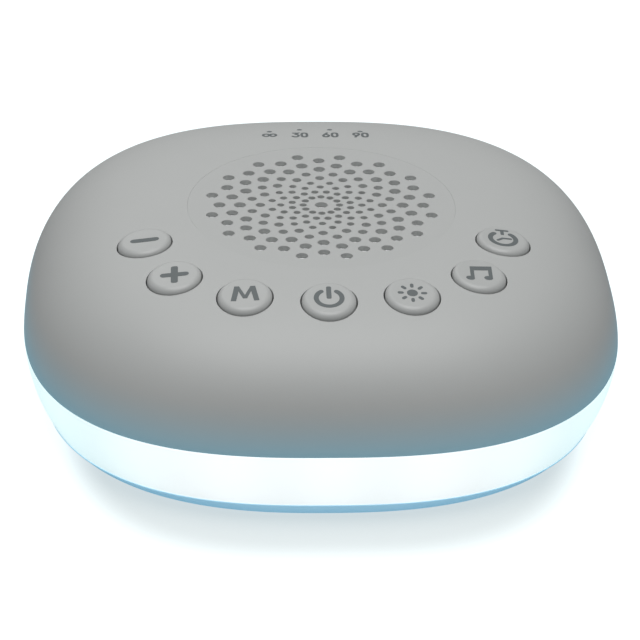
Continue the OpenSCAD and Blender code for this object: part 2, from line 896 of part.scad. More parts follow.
module speaker_surround() {
    color("#1f2123")
    translate([0, 0, land_z])
        rotate_extrude()
            union() {
                translate([surround_r - eps, 0])
                    square([land_r - fit - surround_r + eps, surround_t]);
                translate([surround_in_r - 0.6, 0])
                    square([0.6 + eps, surround_t]);
                translate([(surround_r + surround_in_r) / 2, 0])
                    difference() {
                        circle(r = (surround_r - surround_in_r) / 2);
                        circle(r = (surround_r - surround_in_r) / 2 - surround_t);
                        translate([-surround_r, -surround_r])
                            square([2 * surround_r, surround_r]);
                    }
            }
}

module speaker_cone() {
    color("#3b3e41")
    rotate_extrude()
        polygon([[cone_r, land_z], [cone_r - 1, land_z],
            [neck_r, neck_z], [neck_r, neck_z - cone_t],
            [cone_r - 0.8, land_z - cone_t], [cone_r, land_z - cone_t]]);
}

module dust_cap() {
    color("#2c2e31")
    intersection() {
        difference() {
            translate([0, 0, cap_ball_z]) sphere(r = cap_ball_r);
            translate([0, 0, cap_ball_z]) sphere(r = cap_ball_r - coil_t);
        }
        translate([0, 0, cap_base_z]) cylinder(r = cap_base_r, h = cap_ball_r);
    }
}

module voice_coil() {
    color("#b5713a")
    translate([0, 0, basket_under - 1])
        ring(neck_r - fit, neck_r - fit - coil_t, neck_z - basket_under + 1);
}

module speaker_spider() {
    color("#c9a45c")
    translate([0, 0, basket_under + spider_rise])
        ring(spider_r, neck_r + fit, spider_t);
}

module speaker_top_plate() {
    color("#8d9296")
    translate([0, 0, top_plate_under]) ring(top_plate_r, neck_r + 2 * slip, plate_t);
}

module speaker_magnet() {
    color("#4a4c4f")
    translate([0, 0, magnet_under]) ring(magnet_d / 2, magnet_hole_r, magnet_t);
}

module speaker_yoke() {
    color("#9a9fa3")
    union() {
        translate([0, 0, yoke_under]) cylinder(r = yoke_r, h = plate_t);
        translate([0, 0, yoke_under]) cylinder(r = pole_r, h = 2 * plate_t + magnet_t - slip);
    }
}

module speaker_retainer() {
    color("#54585b")
    translate([0, 0, retainer_under])
        difference() {
            ring(well_r + well_wall, land_r, retainer_t);
            for (p = retainer_screw_places)
                translate([p[0], p[1], -1])
                    cylinder(r = board_screw_r + slip, h = retainer_t + 2, $fn = 24);
        }
}

// ---- power inlet ----

module inlet_shell() {
    color("#c4c8cb")
    translate([0, inlet_mouth_y - inlet_l, inlet_z])
        difference() {
            slot_bar(inlet_w, inlet_h, inlet_l);
            translate([0, 0.8, 0])
                slot_bar(inlet_w - 2 * inlet_wall, inlet_h - 2 * inlet_wall, inlet_l);
        }
}

module inlet_tongue() {
    color("#26282a")
    translate([-3.35, inlet_mouth_y - inlet_l + 0.8, inlet_z - 0.35])
        cube([6.7, inlet_l - 1.4, 0.7]);
}

module power_board() {
    color("#2f6b4a")
    difference() {
        translate([-power_board_w / 2, power_board_back - power_board_l,
            power_board_top - board_t])
            cube([power_board_w, power_board_l, board_t]);
        for (p = power_screw_places)
            translate([p[0], p[1], power_board_top - board_t - 1])
                cylinder(r = board_screw_r + slip, h = board_t + 2, $fn = 24);
    }
}

// ---- band lights ----

module led_carrier() {
    color("#eef1f2")
    translate([0, 0, band_z])
        difference() {
            ring(carrier_r, carrier_r - carrier_t, carrier_h);
            // notch for the leads
            rotate(notch_turn)
                translate([carrier_r - 4, -notch_w / 2, carrier_h - notch_h])
                    cube([6, notch_w, notch_h + 1]);
        }
}

module led_strip() {
    color("#e8e2c8")
    translate([0, 0, led_z - strip_h / 2])
        ring(carrier_r + fit + strip_t, carrier_r + fit, strip_h);
}

module band_leds() {
    color("#fffbe0")
    for (i = [0 : band_led_count - 1])
        rotate(360 * i / band_led_count)
            translate([carrier_r + 2 * fit + strip_t, -band_led_w / 2, led_z - band_led_h / 2])
                cube([band_led_t, band_led_w, band_led_h]);
}

// ---- electronics in the base ----

module main_board() {
    color("#2f6b4a")
    translate([0, 0, main_board_z])
        difference() {
            cylinder(r = main_board_r, h = board_t);
            for (p = main_screw_places)
                translate([p[0], p[1], -1])
                    cylinder(r = board_screw_r + slip, h = board_t + 2, $fn = 24);
        }
}

// a block on the board, given by its plan place and its three sizes
module chip(c) {
    translate([c[0] - c[2] / 2, c[1] - c[3] / 2, main_board_top]) cube([c[2], c[3], c[4]]);
}

module control_chips() {
    color("#1d1f21")
    for (c = chips) chip(c);
}

module capacitors() {
    color("#39424d")
    for (c = cans)
        translate([c[0], c[1], main_board_top]) cylinder(d = c[2], h = can_h);
}

module power_coil() {
    color("#6b6256")
    chip(coil);
}

module board_connectors() {
    color("#f0f0ea") {
        chip([ribbon_end[0], ribbon_end[1], ribbon_connector_l, connector_w, connector_h]);
        chip([speaker_end[0], speaker_end[1], connector_w, connector_l, connector_h]);
        chip([power_end[0], power_end[1], connector_l, connector_w, connector_h]);
        chip([strip_end[0], strip_end[1], connector_w, connector_l, connector_h]);
    }
}

module key_ribbon() {
    color("#9aa0a5")
    lead([ribbon_end,
        ribbon_end + [0, 0, ribbon_out],
        [0, -ribbon_r, key_board_top - board_t - ribbon_drop],
        [0, -ribbon_r, key_board_top - board_t]], ribbon_section, [1, 0, 0]);
}

module terminal_tag() {
    color("#8a6a3c")
    translate(tag_at + fit * tag_out)
        rotate([0, 0, tag_turn])
            rotate([0, wall_fall, 0])
                translate([0, -tag_w / 2, -tag_l / 2])
                    cube([tag_t, tag_w, tag_l]);
}

module speaker_leads() {
    color("#b23a34")
    for (s = [-1, 1])
        lead([speaker_end + [0, s * lead_gap, 0],
            speaker_end + [0, s * lead_gap, speaker_lead_out],
            tag_at + (tag_t + tag_lead_out) * tag_out + s * tag_lead_gap * tag_side,
            tag_at + (tag_t + 2 * fit) * tag_out + s * tag_lead_gap * tag_side],
            wire_section, [0, 1, 0]);
}

module strip_leads() {
    color("#d9d9d2")
    for (s = [-1, 1])
        lead([strip_end + [0, s * lead_gap, 0],
            strip_end + [0, s * lead_gap, thin_lead_out],
            notch_point(carrier_r - strip_reach, s * lead_gap),
            notch_point(carrier_r, s * lead_gap)],
            wire_section, [0, 1, 0]);
}

// a point at the height where the strip's leads pass the carrier's notch
function notch_point(r, across) = [
    r * cos(notch_turn) - across * sin(notch_turn),
    r * sin(notch_turn) + across * cos(notch_turn),
    band_z + carrier_h - notch_h + lead_r + fit
];

module power_leads() {
    color("#26282a")
    for (s = [-1, 1])
        lead([power_end + [s * lead_gap, 0, 0],
            power_end + [s * lead_gap, 0, thin_lead_out],
            [power_end[0] + s * lead_gap, power_lead_y,
                power_board_top - board_t - power_drop],
            [power_end[0] + s * lead_gap, power_lead_y, power_board_top - board_t]],
            wire_section, [1, 0, 0]);
}

top_housing();
speaker_grille();
dust_mesh();
light_pipes();
light_ring();
base_tray();
foot_front_left();
foot_front_right();
foot_back_left();
foot_back_right();
case_screws();
board_screws();
button_minus();
button_plus();
button_mode();
button_power();
button_light();
button_sound();
button_timer();
plunger_minus();
plunger_plus();
plunger_mode();
plunger_power();
plunger_light();
plunger_sound();
plunger_timer();
key_board();
key_switches();
speaker_gasket();
speaker_basket();
speaker_surround();
speaker_cone();
dust_cap();
voice_coil();
speaker_spider();
speaker_top_plate();
speaker_magnet();
speaker_yoke();
speaker_retainer();
indicator_board();
indicator_leds();
power_board();
inlet_shell();
inlet_tongue();
led_carrier();
led_strip();
band_leds();
main_board();
control_chips();
capacitors();
power_coil();
board_connectors();
key_ribbon();
speaker_leads();
power_leads();
terminal_tag();
strip_leads();
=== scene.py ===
"""Bedside sound machine: the finish of every piece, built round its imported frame."""

import json
import math

import bmesh
import bpy
import numpy as np
from bpy.props import FloatProperty, FloatVectorProperty, IntProperty, PointerProperty
from mathutils import Matrix, Vector
from mathutils.geometry import delaunay_2d_cdt, tessellate_polygon

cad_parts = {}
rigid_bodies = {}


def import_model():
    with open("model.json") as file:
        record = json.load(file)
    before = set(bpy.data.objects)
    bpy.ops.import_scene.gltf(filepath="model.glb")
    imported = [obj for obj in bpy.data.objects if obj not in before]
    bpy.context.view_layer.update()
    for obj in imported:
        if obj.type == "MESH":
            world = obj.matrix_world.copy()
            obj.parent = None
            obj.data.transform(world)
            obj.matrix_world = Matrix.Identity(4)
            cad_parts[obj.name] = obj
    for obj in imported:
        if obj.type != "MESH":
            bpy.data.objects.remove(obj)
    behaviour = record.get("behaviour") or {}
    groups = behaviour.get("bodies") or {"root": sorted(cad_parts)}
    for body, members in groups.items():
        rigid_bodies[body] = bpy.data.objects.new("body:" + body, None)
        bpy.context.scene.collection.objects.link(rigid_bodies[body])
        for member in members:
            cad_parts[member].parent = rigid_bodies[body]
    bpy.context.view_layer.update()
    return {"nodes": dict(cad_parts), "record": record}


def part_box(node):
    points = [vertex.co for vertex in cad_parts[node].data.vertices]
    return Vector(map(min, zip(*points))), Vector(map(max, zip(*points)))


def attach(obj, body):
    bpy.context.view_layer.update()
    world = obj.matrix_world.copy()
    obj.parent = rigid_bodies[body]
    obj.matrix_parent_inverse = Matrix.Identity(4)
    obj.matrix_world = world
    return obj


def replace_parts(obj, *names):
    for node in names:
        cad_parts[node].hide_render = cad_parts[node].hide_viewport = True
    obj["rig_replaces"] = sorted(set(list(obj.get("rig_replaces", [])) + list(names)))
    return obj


bl_info = {
    "name": "Sound Machine",
    "version": (1, 0, 0),
    "blender": (4, 5, 0),
    "location": "View3D > Sidebar > Sound Machine",
    "description": "Builds a bedside sound machine round its packed frame",
    "category": "Add Mesh",
}

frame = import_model()

MM = 0.001
KEYS = ("minus", "plus", "mode", "power", "light", "sound", "timer")
AROUND = 384  # points round the casing's outlines
HOLE_SIDES, DISC_SIDES = 24, 192
FEET = ("foot_front_left", "foot_front_right", "foot_back_left", "foot_back_right")
BAND_EDGE, TONGUE_SLACK = 0.15, 0.25  # the light band's rounding and its play, in millimetres
WELD = 0.002 * MM  # points nearer than this are one point
MATH, SPREAD, SPLIT = "ShaderNodeMath", "ShaderNodeMapRange", "ShaderNodeSeparateXYZ"
NOISE, VORONOI, BUMP = "ShaderNodeTexNoise", "ShaderNodeTexVoronoi", "ShaderNodeBump"
JOIN = "GeometryNodeJoinGeometry"
BORE_STEPS = np.radians([25, 50, 70, 90])
EDGE_STEPS = np.radians([30, 60, 90])


def low(node, axis):
    """A node's lowest place along one axis, in millimetres."""
    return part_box(node)[0][axis] / MM


def high(node, axis):
    """A node's highest place along one axis, in millimetres."""
    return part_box(node)[1][axis] / MM


def middle(node):
    """The plan place of a node's middle, in millimetres."""
    return np.array([(low(node, axis) + high(node, axis)) / 2 for axis in (0, 1)])


def radius_of(node):
    """Half a round node's width, in millimetres."""
    return (high(node, 0) - low(node, 0)) / 2


# ---- sizes and colours that a user would change ----


def linear(code):
    """An sRGB hex colour as linear red, green and blue."""
    parts = [int(code[i:i + 2], 16) / 255 for i in (1, 3, 5)]
    return tuple(p / 12.92 if p <= 0.04045 else ((p + 0.055) / 1.055) ** 2.4 for p in parts)


def length(label, text, value):
    """A size property, given in millimetres and kept in metres."""
    return FloatProperty(name=label, description=text, default=value * MM,
                         unit="LENGTH", precision=6)


def ratio(label, text, value):
    """A property without a unit."""
    return FloatProperty(name=label, description=text, default=value, precision=4)


def colour(label, text, code):
    """A colour property, given as an sRGB hex value."""
    return FloatVectorProperty(name=label, description=text, subtype="COLOR",
                               min=0, max=1, default=linear(code))


class SoundMachineSizes(bpy.types.PropertyGroup):
    """Sizes of the casing, grille, buttons and print."""

    body_w: length("Body width", "Width and depth at the seam above the light band",
                   high("top_housing", 0) - low("top_housing", 0))
    crown_z: length("Crown height", "Height of the housing's crown", high("top_housing", 2))
    tongue_h: length("Tongue height", "How far the light band reaches into the housing", 2)
    rim_z: length("Rim height", "Height of the base tray's underside", low("base_tray", 2))
    band_z: length("Band height", "Height of the light band's lower edge", low("light_ring", 2))
    plan_n: ratio("Plan squareness", "Superellipse exponent of the plan", 2.64)
    dome_q: ratio("Dome flatness", "How far out the top stays flat", 5.58)
    dome_m: ratio("Shoulder fullness", "How full the shoulder is", 1.71)
    shell_wall: length("Housing wall", "Wall of the top housing", 2.2)
    band_bottom_w: length("Band lower width", "Width of the band where it meets the base", 99)
    band_bottom_n: ratio("Band lower squareness", "Plan exponent at the base", 2.58)
    band_bulge: length("Band bulge", "How far the band swells between its edges", 0.63)
    band_wall: length("Band wall", "Wall of the light band", 2.2)
    tongue_t: length("Tongue wall", "Thickness of the band's tongue", 1.2)
    rim_bottom_w: length("Rim lower width", "Width of the rim at its lower edge", 97)
    rim_bottom_n: ratio("Rim lower squareness", "Plan exponent at the rim's lower edge", 2.45)
    lip_h: length("Lip height", "Lip that centres the light band", 1.6)
    lip_t: length("Lip wall", "Thickness of that lip", 1.2)
    edge: length("Edge rounding", "Rounding of the moulded outer edges", 0.2)
    bore_edge: length("Bore rounding", "Rounding of the bores' upper edges", 0.1)

    grille_t: length("Grille thickness", "Thickness of the grille disc",
                     high("speaker_grille", 2) - low("speaker_grille", 2))
    grille_d: length("Grille diameter", "Diameter of the grille disc",
                     high("speaker_grille", 0) - low("speaker_grille", 0))
    grille_gap: length("Grille gap", "Gap round the grille disc", 0.015)
    well_r: length("Well radius", "Radius of the well that the speaker sits in", 22.2)
    well_wall: length("Well wall", "Wall of that well", 4)
    hole_lip: length("Hole rounding", "Rounding of a hole's upper edge", 0.08)
    centre_hole: length("Middle hole", "Diameter of the middle hole", 2.2)
    small_hole: length("Small holes", "Diameter of the inner holes", 1.25)
    mid_hole: length("Middling holes", "Diameter of the holes between", 1.6)
    large_hole: length("Large holes", "Diameter of the outer holes", 2.05)
    first_ring: length("First ring", "Radius of the first ring of holes", 3.2)
    second_ring: length("Second ring", "Radius of the first staggered ring", 5.2)
    third_ring: length("Third ring", "Radius of the first straight ring", 7.13)
    ring_step: length("Ring step", "Step between every other ring", 3.59)
    grille_turn: FloatProperty(name="Turn of the holes", description="Turn of their pattern",
                               default=math.radians(-0.65), unit="ROTATION")
    ring_holes: IntProperty(name="Holes in a ring", description="Holes in all rings but one",
                            default=16, min=3)
    first_holes: IntProperty(name="Holes in the first ring", description="Its holes",
                             default=12, min=3)

    cap_d: length("Cap diameter", "Diameter of a button cap", 9.2)
    cap_gap: length("Cap gap", "Gap round a button cap", 0.2)
    cap_round: length("Cap rounding", "Radius of a cap's rounded rim", 1)
    cap_proud: length("Cap height", "How far a cap stands out at its middle", 0.7)
    guide_wall: length("Guide wall", "Wall of the tube that guides a cap", 1.15)
    guide_depth: length("Guide depth", "Depth of the guides below the crown", 6)
    stem_d: length("Stem diameter", "Diameter of a cap's stem", 3)
    cap_wall: length("Cap wall", "Wall of a cap", 1.3)
    flange_t: length("Flange thickness", "Thickness of a cap's flange", 1)
    ink: length("Print thickness", "Thickness of the printed symbols", 0.02)
    pipe_d: length("Light pipe", "Diameter of a timer light pipe", 0.9)
    timer_step: length("Timer step", "Spacing of the timer marks", 5.6)
    timer_r: length("Timer radius", "Distance of the timer lights from the centre", 32.8)
    mark_y: length("Mark place", "Distance of the timer marks from the centre", 29.65)

    foot_recess: length("Foot recess", "Depth of the recess that holds a foot", 0.9)
    inlet_wall: length("Inlet wall", "Wall of the inlet's metal shell", 0.3)
    inlet_slack: length("Inlet slack", "Gap between the inlet and the housing", 0.2)


class SoundMachineColours(bpy.types.PropertyGroup):
    """Colours of the pieces that show."""

    housing: colour("Housing", "Light grey moulded plastic", "#a7a9a8")
    grille: colour("Grille", "Light grey moulded plastic", "#a6a8a7")
    cap: colour("Button cap", "Light grey moulded plastic", "#a5a7a6")
    print_: colour("Print", "Dark grey printing ink", "#595f60")
    glow: colour("Glow", "Light of the band before the lamps", "#fbffff")
    glow_side: colour("Side glow", "Light of the band at its two sides", "#e2fdff")
    # painted glow: the blue that the housing is made to glow with near the seam, in place of the band's
    # light on it
    painted_glow: colour("Bleed", "Light that the plastic beside the band lets through", "#00bce2")
    # painted glow: the light blue that the base is made to glow with, in place of the band's light on
    # its rim
    rim_painted_glow: colour("Rim bleed", "Light that the rim below the band lets through", "#6cc4ee")
    # the base's own pale plastic colour, with a blue tint that is painted glow from the band
    rim: colour("Base", "Pale moulded plastic", "#cfe2ea")
    rubber: colour("Foot", "Translucent white silicone", "#d0d6d8")
    floor: colour("Floor", "White studio floor", "#757778")


# ---- shapes ----


def outline(half, n, z, count=AROUND):
    """One level rounded-square outline of half width half, as rows of x, y and z."""
    turn = np.arange(count) * 2 * math.pi / count
    across = half / (abs(np.cos(turn)) ** n + abs(np.sin(turn)) ** n) ** (1 / n)
    return np.column_stack([across * np.cos(turn), across * np.sin(turn),
                            np.full(count, float(z))])


def circle(centre, radius, count):
    """A level circle as rows of x and y."""
    turn = np.arange(count) * 2 * math.pi / count
    return np.asarray(centre) + radius * np.column_stack([np.cos(turn), np.sin(turn)])


def lifted(flat, z):
    """Rows of x and y with a height added."""
    return np.column_stack([flat, np.broadcast_to(z, len(flat))])


class Dome:
    """A domed surface: a superellipse in plan and in height."""

    def __init__(self, half, height, seam, sizes):
        self.half, self.height, self.seam = half, height, seam
        self.n, self.q, self.m = sizes.plan_n, sizes.dome_q, sizes.dome_m
        self.turn = np.radians(np.linspace(0, 90, 4001))
        across = half * np.sin(self.turn) ** (2 / self.q)
        up = height * np.cos(self.turn) ** (2 / self.m)
        steps = np.hypot(np.diff(across), np.diff(up))
        self.run = np.concatenate([[0], np.cumsum(steps)])

    def span(self, flat):
        """Half width of the outline that passes through each plan point."""
        return (abs(flat[:, 0]) ** self.n + abs(flat[:, 1]) ** self.n) ** (1 / self.n)

    def z(self, flat):
        """Height of the surface over each plan point."""
        rest = 1 - np.minimum(self.span(flat) / self.half, 1) ** self.q
        return self.seam + self.height * rest ** (1 / self.m)

    def y(self, x, z):
        """How far back the surface is at each x and z."""
        rest = 1 - ((z - self.seam) / self.height) ** self.m
        span = self.half * rest ** (1 / self.q)
        return (span ** self.n - abs(x) ** self.n) ** (1 / self.n)

    def flatten(self, flat):
        """Plan points moved out to their distance along the surface."""
        span = self.span(flat)
        turn = np.arcsin(np.minimum(span / self.half, 1) ** (self.q / 2))
        return flat * (np.interp(turn, self.turn, self.run) / span)[:, None]

    def place(self, laid):
        """Points of the flattened layout put back on the surface."""
        run = self.span(laid)
        turn = np.interp(run, self.run, self.turn)
        span = self.half * np.sin(turn) ** (2 / self.q)
        flat = laid * (span / run)[:, None]
        return lifted(flat, self.seam + self.height * np.cos(turn) ** (2 / self.m))

    def normal(self, points):
        """Outward direction of the surface at each point on it."""
        span = self.span(points)
        fall = self.q / self.half * (span / self.half) ** (self.q - 1)
        plan = points[:, :2]
        lean = np.sign(plan) * (abs(plan) / span[:, None]) ** (self.n - 1)
        up = np.clip((points[:, 2] - self.seam) / self.height, 0, 1)
        found = np.column_stack([fall[:, None] * lean,
                                 self.m / self.height * up ** (self.m - 1)])
        return found / np.linalg.norm(found, axis=1)[:, None]

    def slope(self, spot):
        """How the surface rises along x and y at one plan place."""
        normal = self.normal(lifted(np.array([spot]), self.z(np.array([spot]))))[0]
        return -normal[:2] / normal[2]


def seam_z(sizes):
    """Height of the seam between the housing and the light band, in millimetres."""
    return high("light_ring", 2) - sizes.tongue_h / MM


def outer_dome(sizes):
    """The outside of the housing."""
    seam = seam_z(sizes)
    return Dome(sizes.body_w / MM / 2, sizes.crown_z / MM - seam, seam, sizes)


def inner_dome(sizes):
    """The inside of the housing."""
    seam, wall = seam_z(sizes), sizes.shell_wall / MM
    return Dome(sizes.body_w / MM / 2 - wall, sizes.crown_z / MM - seam - wall, seam, sizes)


def features_turn():
    """How far the buttons and marks are turned about the middle, in radians."""
    x, y = middle("button_power")
    return math.atan2(x, -y)


def turned(flat, angle):
    """Plan points turned about the middle."""
    c, s = math.cos(angle), math.sin(angle)
    return np.asarray(flat, float) @ np.array([[c, s], [-s, c]])


def timer_places(sizes):
    """Plan places of the four timer lights."""
    across = (np.arange(4) - 1.5) * sizes.timer_step / MM
    back = np.sqrt((sizes.timer_r / MM) ** 2 - across ** 2)
    return turned(np.column_stack([across, back]), features_turn())


# ---- meshes ----


def mesh_object(name, points, faces, crease=math.radians(35), normals=None):
    """A smooth-shaded mesh object from points in millimetres, with sharp edges kept."""
    mesh = bpy.data.meshes.new(name)
    faces = [tuple(int(i) for i in face) for face in faces]
    mesh.from_pydata((np.asarray(points) * MM).tolist(), [], faces)
    mesh.update()
    finish_shading(mesh, crease, normals)
    piece = bpy.data.objects.new(name, mesh)
    bpy.context.scene.collection.objects.link(piece)
    return piece


def finish_shading(mesh, crease, normals=None):
    """Smooth shading but for sharp edges; a normal that isn't zero is kept as given."""
    mesh.shade_smooth()
    mesh.set_sharp_from_angle(angle=crease)
    if normals is not None:
        mesh.normals_split_custom_set_from_vertices(normals.tolist())


def dress(piece, body, slot, material, *nodes):
    """Give a piece its material, the body that it rides on and the nodes it stands for."""
    piece.data.materials.clear()
    piece.data.materials.append(material)
    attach(piece, body)
    if nodes:
        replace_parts(piece, *nodes)
    return piece


def bridge(upper, lower, outward=False):
    """Faces between two closed rows of point numbers."""
    faces = []
    for a, b, c, d in zip(upper, np.roll(upper, -1), np.roll(lower, -1), lower):
        faces.append((d, c, b, a) if outward else (a, b, c, d))
    return faces


def skin(name, rows, first, last):
    """A closed skin over rows of points, from a first middle point to a last one."""
    count = len(rows[0])
    index = np.arange(len(rows) * count).reshape(len(rows), count)
    start, end = len(rows) * count, len(rows) * count + 1
    faces = [face for a, b in zip(index, index[1:]) for face in bridge(a, b, True)]
    faces += [(start, a, b) for a, b in zip(index[0], np.roll(index[0], -1))]
    faces += [(end, b, a) for a, b in zip(index[-1], np.roll(index[-1], -1))]
    return mesh_object(name, np.vstack(rows + [[first], [last]]), faces)


class Opening:
    """A hole through a wall: its loops on the front, and the rows down to the back."""

    def __init__(self, loops, rows, warp):
        self.loops, self.rows, self.warp = loops, rows, warp


def lattice(rings, openings):
    """The rings' points that stay clear of every opening, and the last ring whole."""
    clear = 0.5
    kept = []
    for ring in rings[:-1]:
        free = np.ones(len(ring), bool)
        for opening in openings:
            edge = opening.loops[-1]
            for point in edge:
                free &= np.hypot(*(ring - point).T) > clear
            free &= ~inside(ring, edge)
        kept.append(ring[free])
    return kept + [rings[-1]]


def inside(points, loop):
    """Which points lie inside a closed convex loop that runs anticlockwise."""
    held = np.ones(len(points), bool)
    for a, b in zip(loop, np.roll(loop, -1, axis=0)):
        side = (b[0] - a[0]) * (points[:, 1] - a[1]) - (b[1] - a[1]) * (points[:, 0] - a[0])
        held &= side > 0
    return held


def pierced_wall(name, rings, openings, front, back, rim_rows, normal, flip=False):
    """A closed wall with openings, laid out flat and joined front to back at every edge."""
    laid = lattice(rings, openings)
    rim_start = sum(len(part) for part in laid[:-1])
    first_loops, start = [], sum(len(part) for part in laid)
    for opening in openings:
        first_loops.append(np.arange(start, start + len(opening.loops[0])))
        start += sum(len(loop) for loop in opening.loops)
    laid = np.vstack(laid + [loop for opening in openings for loop in opening.loops])
    rim = np.arange(rim_start, rim_start + len(rings[-1]))

    edges = [(int(a), int(b)) for row in [rim] + first_loops for a, b in zip(row, np.roll(row, -1))]
    found = delaunay_2d_cdt([Vector(p) for p in laid], edges, [], 0, 1e-6)
    if len(found[0]) != len(laid):
        raise RuntimeError(f"{name}: two points of its layout fall together")
    owner = np.full(len(laid), -1)
    for number, row in enumerate(first_loops):
        owner[row] = number
    faces = [tuple(f) for f in found[2]
             if not (owner[f[0]] >= 0 and owner[f[0]] == owner[f[1]] == owner[f[2]])]

    top = front(laid)
    under = back(laid, top)
    count = len(laid)
    points = [top, under]
    solid = faces + [tuple(i + count for i in f[::-1]) for f in faces]
    total = 2 * count
    for row, rows, outward in [(rim, rim_rows, True)] + [
            (row, opening.rows, False) for row, opening in zip(first_loops, openings)]:
        last = row
        for ring in rows:
            points.append(ring)
            new = np.arange(total, total + len(ring))
            total += len(ring)
            solid += bridge(last, new, outward)
            last = new
        solid += bridge(last, row + count, outward)
    if flip:
        solid = [f[::-1] for f in solid]
    points = np.vstack(points)
    normals = np.zeros((len(points), 3))
    normals[:count] = normal(top)
    return mesh_object(name, points, solid, normals=normals)


def round_opening(centre, radius, edge, count, spread, surface, floor_rows, back_r, reach, lay):
    """A round bore: its loops on the front surface and the rows down its wall."""
    loops = [lay(circle(centre, radius + edge + out, count)) for out in spread]
    brim = surface(circle(centre, radius + edge, count))
    rows = [lifted(circle(centre, radius + edge * (1 - math.sin(a)), count),
                   brim - edge * (1 - math.cos(a)))
            for a in BORE_STEPS]
    rows += [lifted(circle(centre, r, count), z) for r, z in floor_rows]

    def warp(flat):
        """Move points out, or in, from the bore's front edge to its back edge."""
        away = flat - np.asarray(centre)
        far = np.hypot(*away.T)
        share = np.clip((reach - far) / (reach - radius - edge), 0, 1)
        return flat + away / far[:, None] * (share * (back_r - radius - edge))[:, None]

    return Opening(loops, rows, warp)


def racetrack(flat_half, middle_z, radius, count, shares=()):
    """A loop with round ends, as x and z, and more points along its straight sides."""
    found = []
    for side in (1, -1):
        for a in np.radians(np.linspace(-90, 90, count)):
            found.append((side * (flat_half + radius * math.cos(a)),
                          side * radius * math.sin(a) + middle_z))
        found += [(side * flat_half * share, side * radius + middle_z) for share in shares]
    return np.array(found)


# ---- node trees ----


def add_node(tree, kind, links=None, **settings):
    """Add a node with its settings, and fill its inputs from a dict or in order."""
    node = tree.nodes.new(kind)
    for name, value in settings.items():
        setattr(node, name, value)
    fill(node, dict(enumerate(links)) if isinstance(links, list) else links or {})
    return node


def fill(node, links):
    """Set inputs to values, sockets or nodes' first outputs, or to a list of them."""
    for name, sources in links.items():
        for source in sources if isinstance(sources, list) else [sources]:
            if isinstance(source, bpy.types.Node):
                source = source.outputs[0]
            if isinstance(source, bpy.types.NodeSocket):
                node.id_data.links.new(source, node.inputs[name])
            else:
                node.inputs[name].default_value = source


def chain(tree, kind, known, rows):
    """Add nodes of a kind by rows of a result's name, its operation and its terms."""
    for result, operation, *terms in rows:
        terms = [known[term] if isinstance(term, str) else term for term in terms]
        known[result] = add_node(tree, kind, terms, operation=operation)
    return known


def new_tree(name, values):
    """A geometry tree with an input for each named value, and its input node's outputs."""
    tree = bpy.data.node_groups.new(name, "GeometryNodeTree")
    for label, value in values.items():
        kind = "NodeSocketInt" if isinstance(value, int) else "NodeSocketFloat"
        tree.interface.new_socket(label, in_out="INPUT", socket_type=kind).default_value = value
    tree.interface.new_socket("Mesh", in_out="OUTPUT", socket_type="NodeSocketGeometry")
    return tree, add_node(tree, "NodeGroupInput").outputs


def grow(name, tree, values):
    """Run a geometry tree on a new object and keep the result as its plain mesh."""
    piece = bpy.data.objects.new(name, bpy.data.meshes.new(name))
    bpy.context.scene.collection.objects.link(piece)
    modifier = piece.modifiers.new("Grow", "NODES")
    modifier.node_group = tree
    for item in tree.interface.items_tree:
        if item.in_out == "INPUT":
            modifier[item.identifier] = values[item.name]
    evaluated = piece.evaluated_get(bpy.context.evaluated_depsgraph_get())
    mesh = bpy.data.meshes.new_from_object(evaluated)
    piece.modifiers.remove(modifier)
    piece.data = mesh
    mesh.name = name
    return piece


def end_tree(tree, parts, material):
    """Join, weld, realize and paint what a tree has made, and put it out."""
    joined = add_node(tree, JOIN, [parts])
    welded = add_node(tree, "GeometryNodeMergeByDistance", {"Geometry": joined, "Distance": WELD})
    real = add_node(tree, "GeometryNodeRealizeInstances", [welded])
    painted = add_node(tree, "GeometryNodeSetMaterial", {"Geometry": real, "Material": material})
    add_node(tree, "NodeGroupOutput", [painted])
    return tree


def open_tube(tree, around, rows):
    """A tube of radius and height one, without ends, and the x, y and z of its points."""
    tube = add_node(tree, "GeometryNodeMeshCylinder", {
        "Vertices": around, "Side Segments": rows, "Radius": 1.0, "Depth": 1.0}, fill_type="NONE")
    place = add_node(tree, "GeometryNodeInputPosition")
    return tube, dict(zip("xyz", add_node(tree, SPLIT, [place]).outputs))


def moved_to(tree, tube, known):
    """A tube whose points stand where the named x, y and z say."""
    place = add_node(tree, "ShaderNodeCombineXYZ", [known[axis] for axis in "xyz"])
    return add_node(tree, "GeometryNodeSetPosition", {"Geometry": tube, "Position": place})


def outline_wall_tree():
    """A wall that runs from one rounded-square outline to another."""
    tree, given = new_tree("outline_wall", {
        "Around": AROUND, "Rows": 1, "Bulge": 0.0, "Start half": 1.0, "End half": 1.0,
        "Start squareness": 2.0, "End squareness": 2.0, "Start height": 0.0, "End height": 1.0})
    tube, known = open_tube(tree, given["Around"], given["Rows"])
    known.update(given.items())
    mixed = [row for size in ("half", "squareness", "height") for row in (
        ("gap", "SUBTRACT", "End " + size, "Start " + size),
        (size, "MULTIPLY_ADD", "share", "gap", "Start " + size))]
    powers = [row for axis in "xy" for row in (
        ("power " + axis, "ABSOLUTE", axis),
        ("power " + axis, "POWER", "power " + axis, "squareness"))]
    # the arch is nought at both ends of the wall and one half way, and the reach makes the
    # outline's superellipse out of the tube's circle
    chain(tree, MATH, known, [("share", "ADD", "z", 0.5)] + mixed + powers + [
        ("rest", "SUBTRACT", 1.0, "share"), ("arch", "MULTIPLY", "share", "rest"),
        ("arch", "MULTIPLY", "arch", 4.0), ("swell", "MULTIPLY_ADD", "arch", "Bulge", "half"),
        ("total", "ADD", "power x", "power y"), ("root", "DIVIDE", -1.0, "squareness"),
        ("reach", "POWER", "total", "root"), ("radius", "MULTIPLY", "reach", "swell"),
        ("x", "MULTIPLY", "x", "radius"), ("y", "MULTIPLY", "y", "radius")])
    known["z"] = known["height"]
    add_node(tree, "NodeGroupOutput", [moved_to(tree, tube, known)])
    return tree


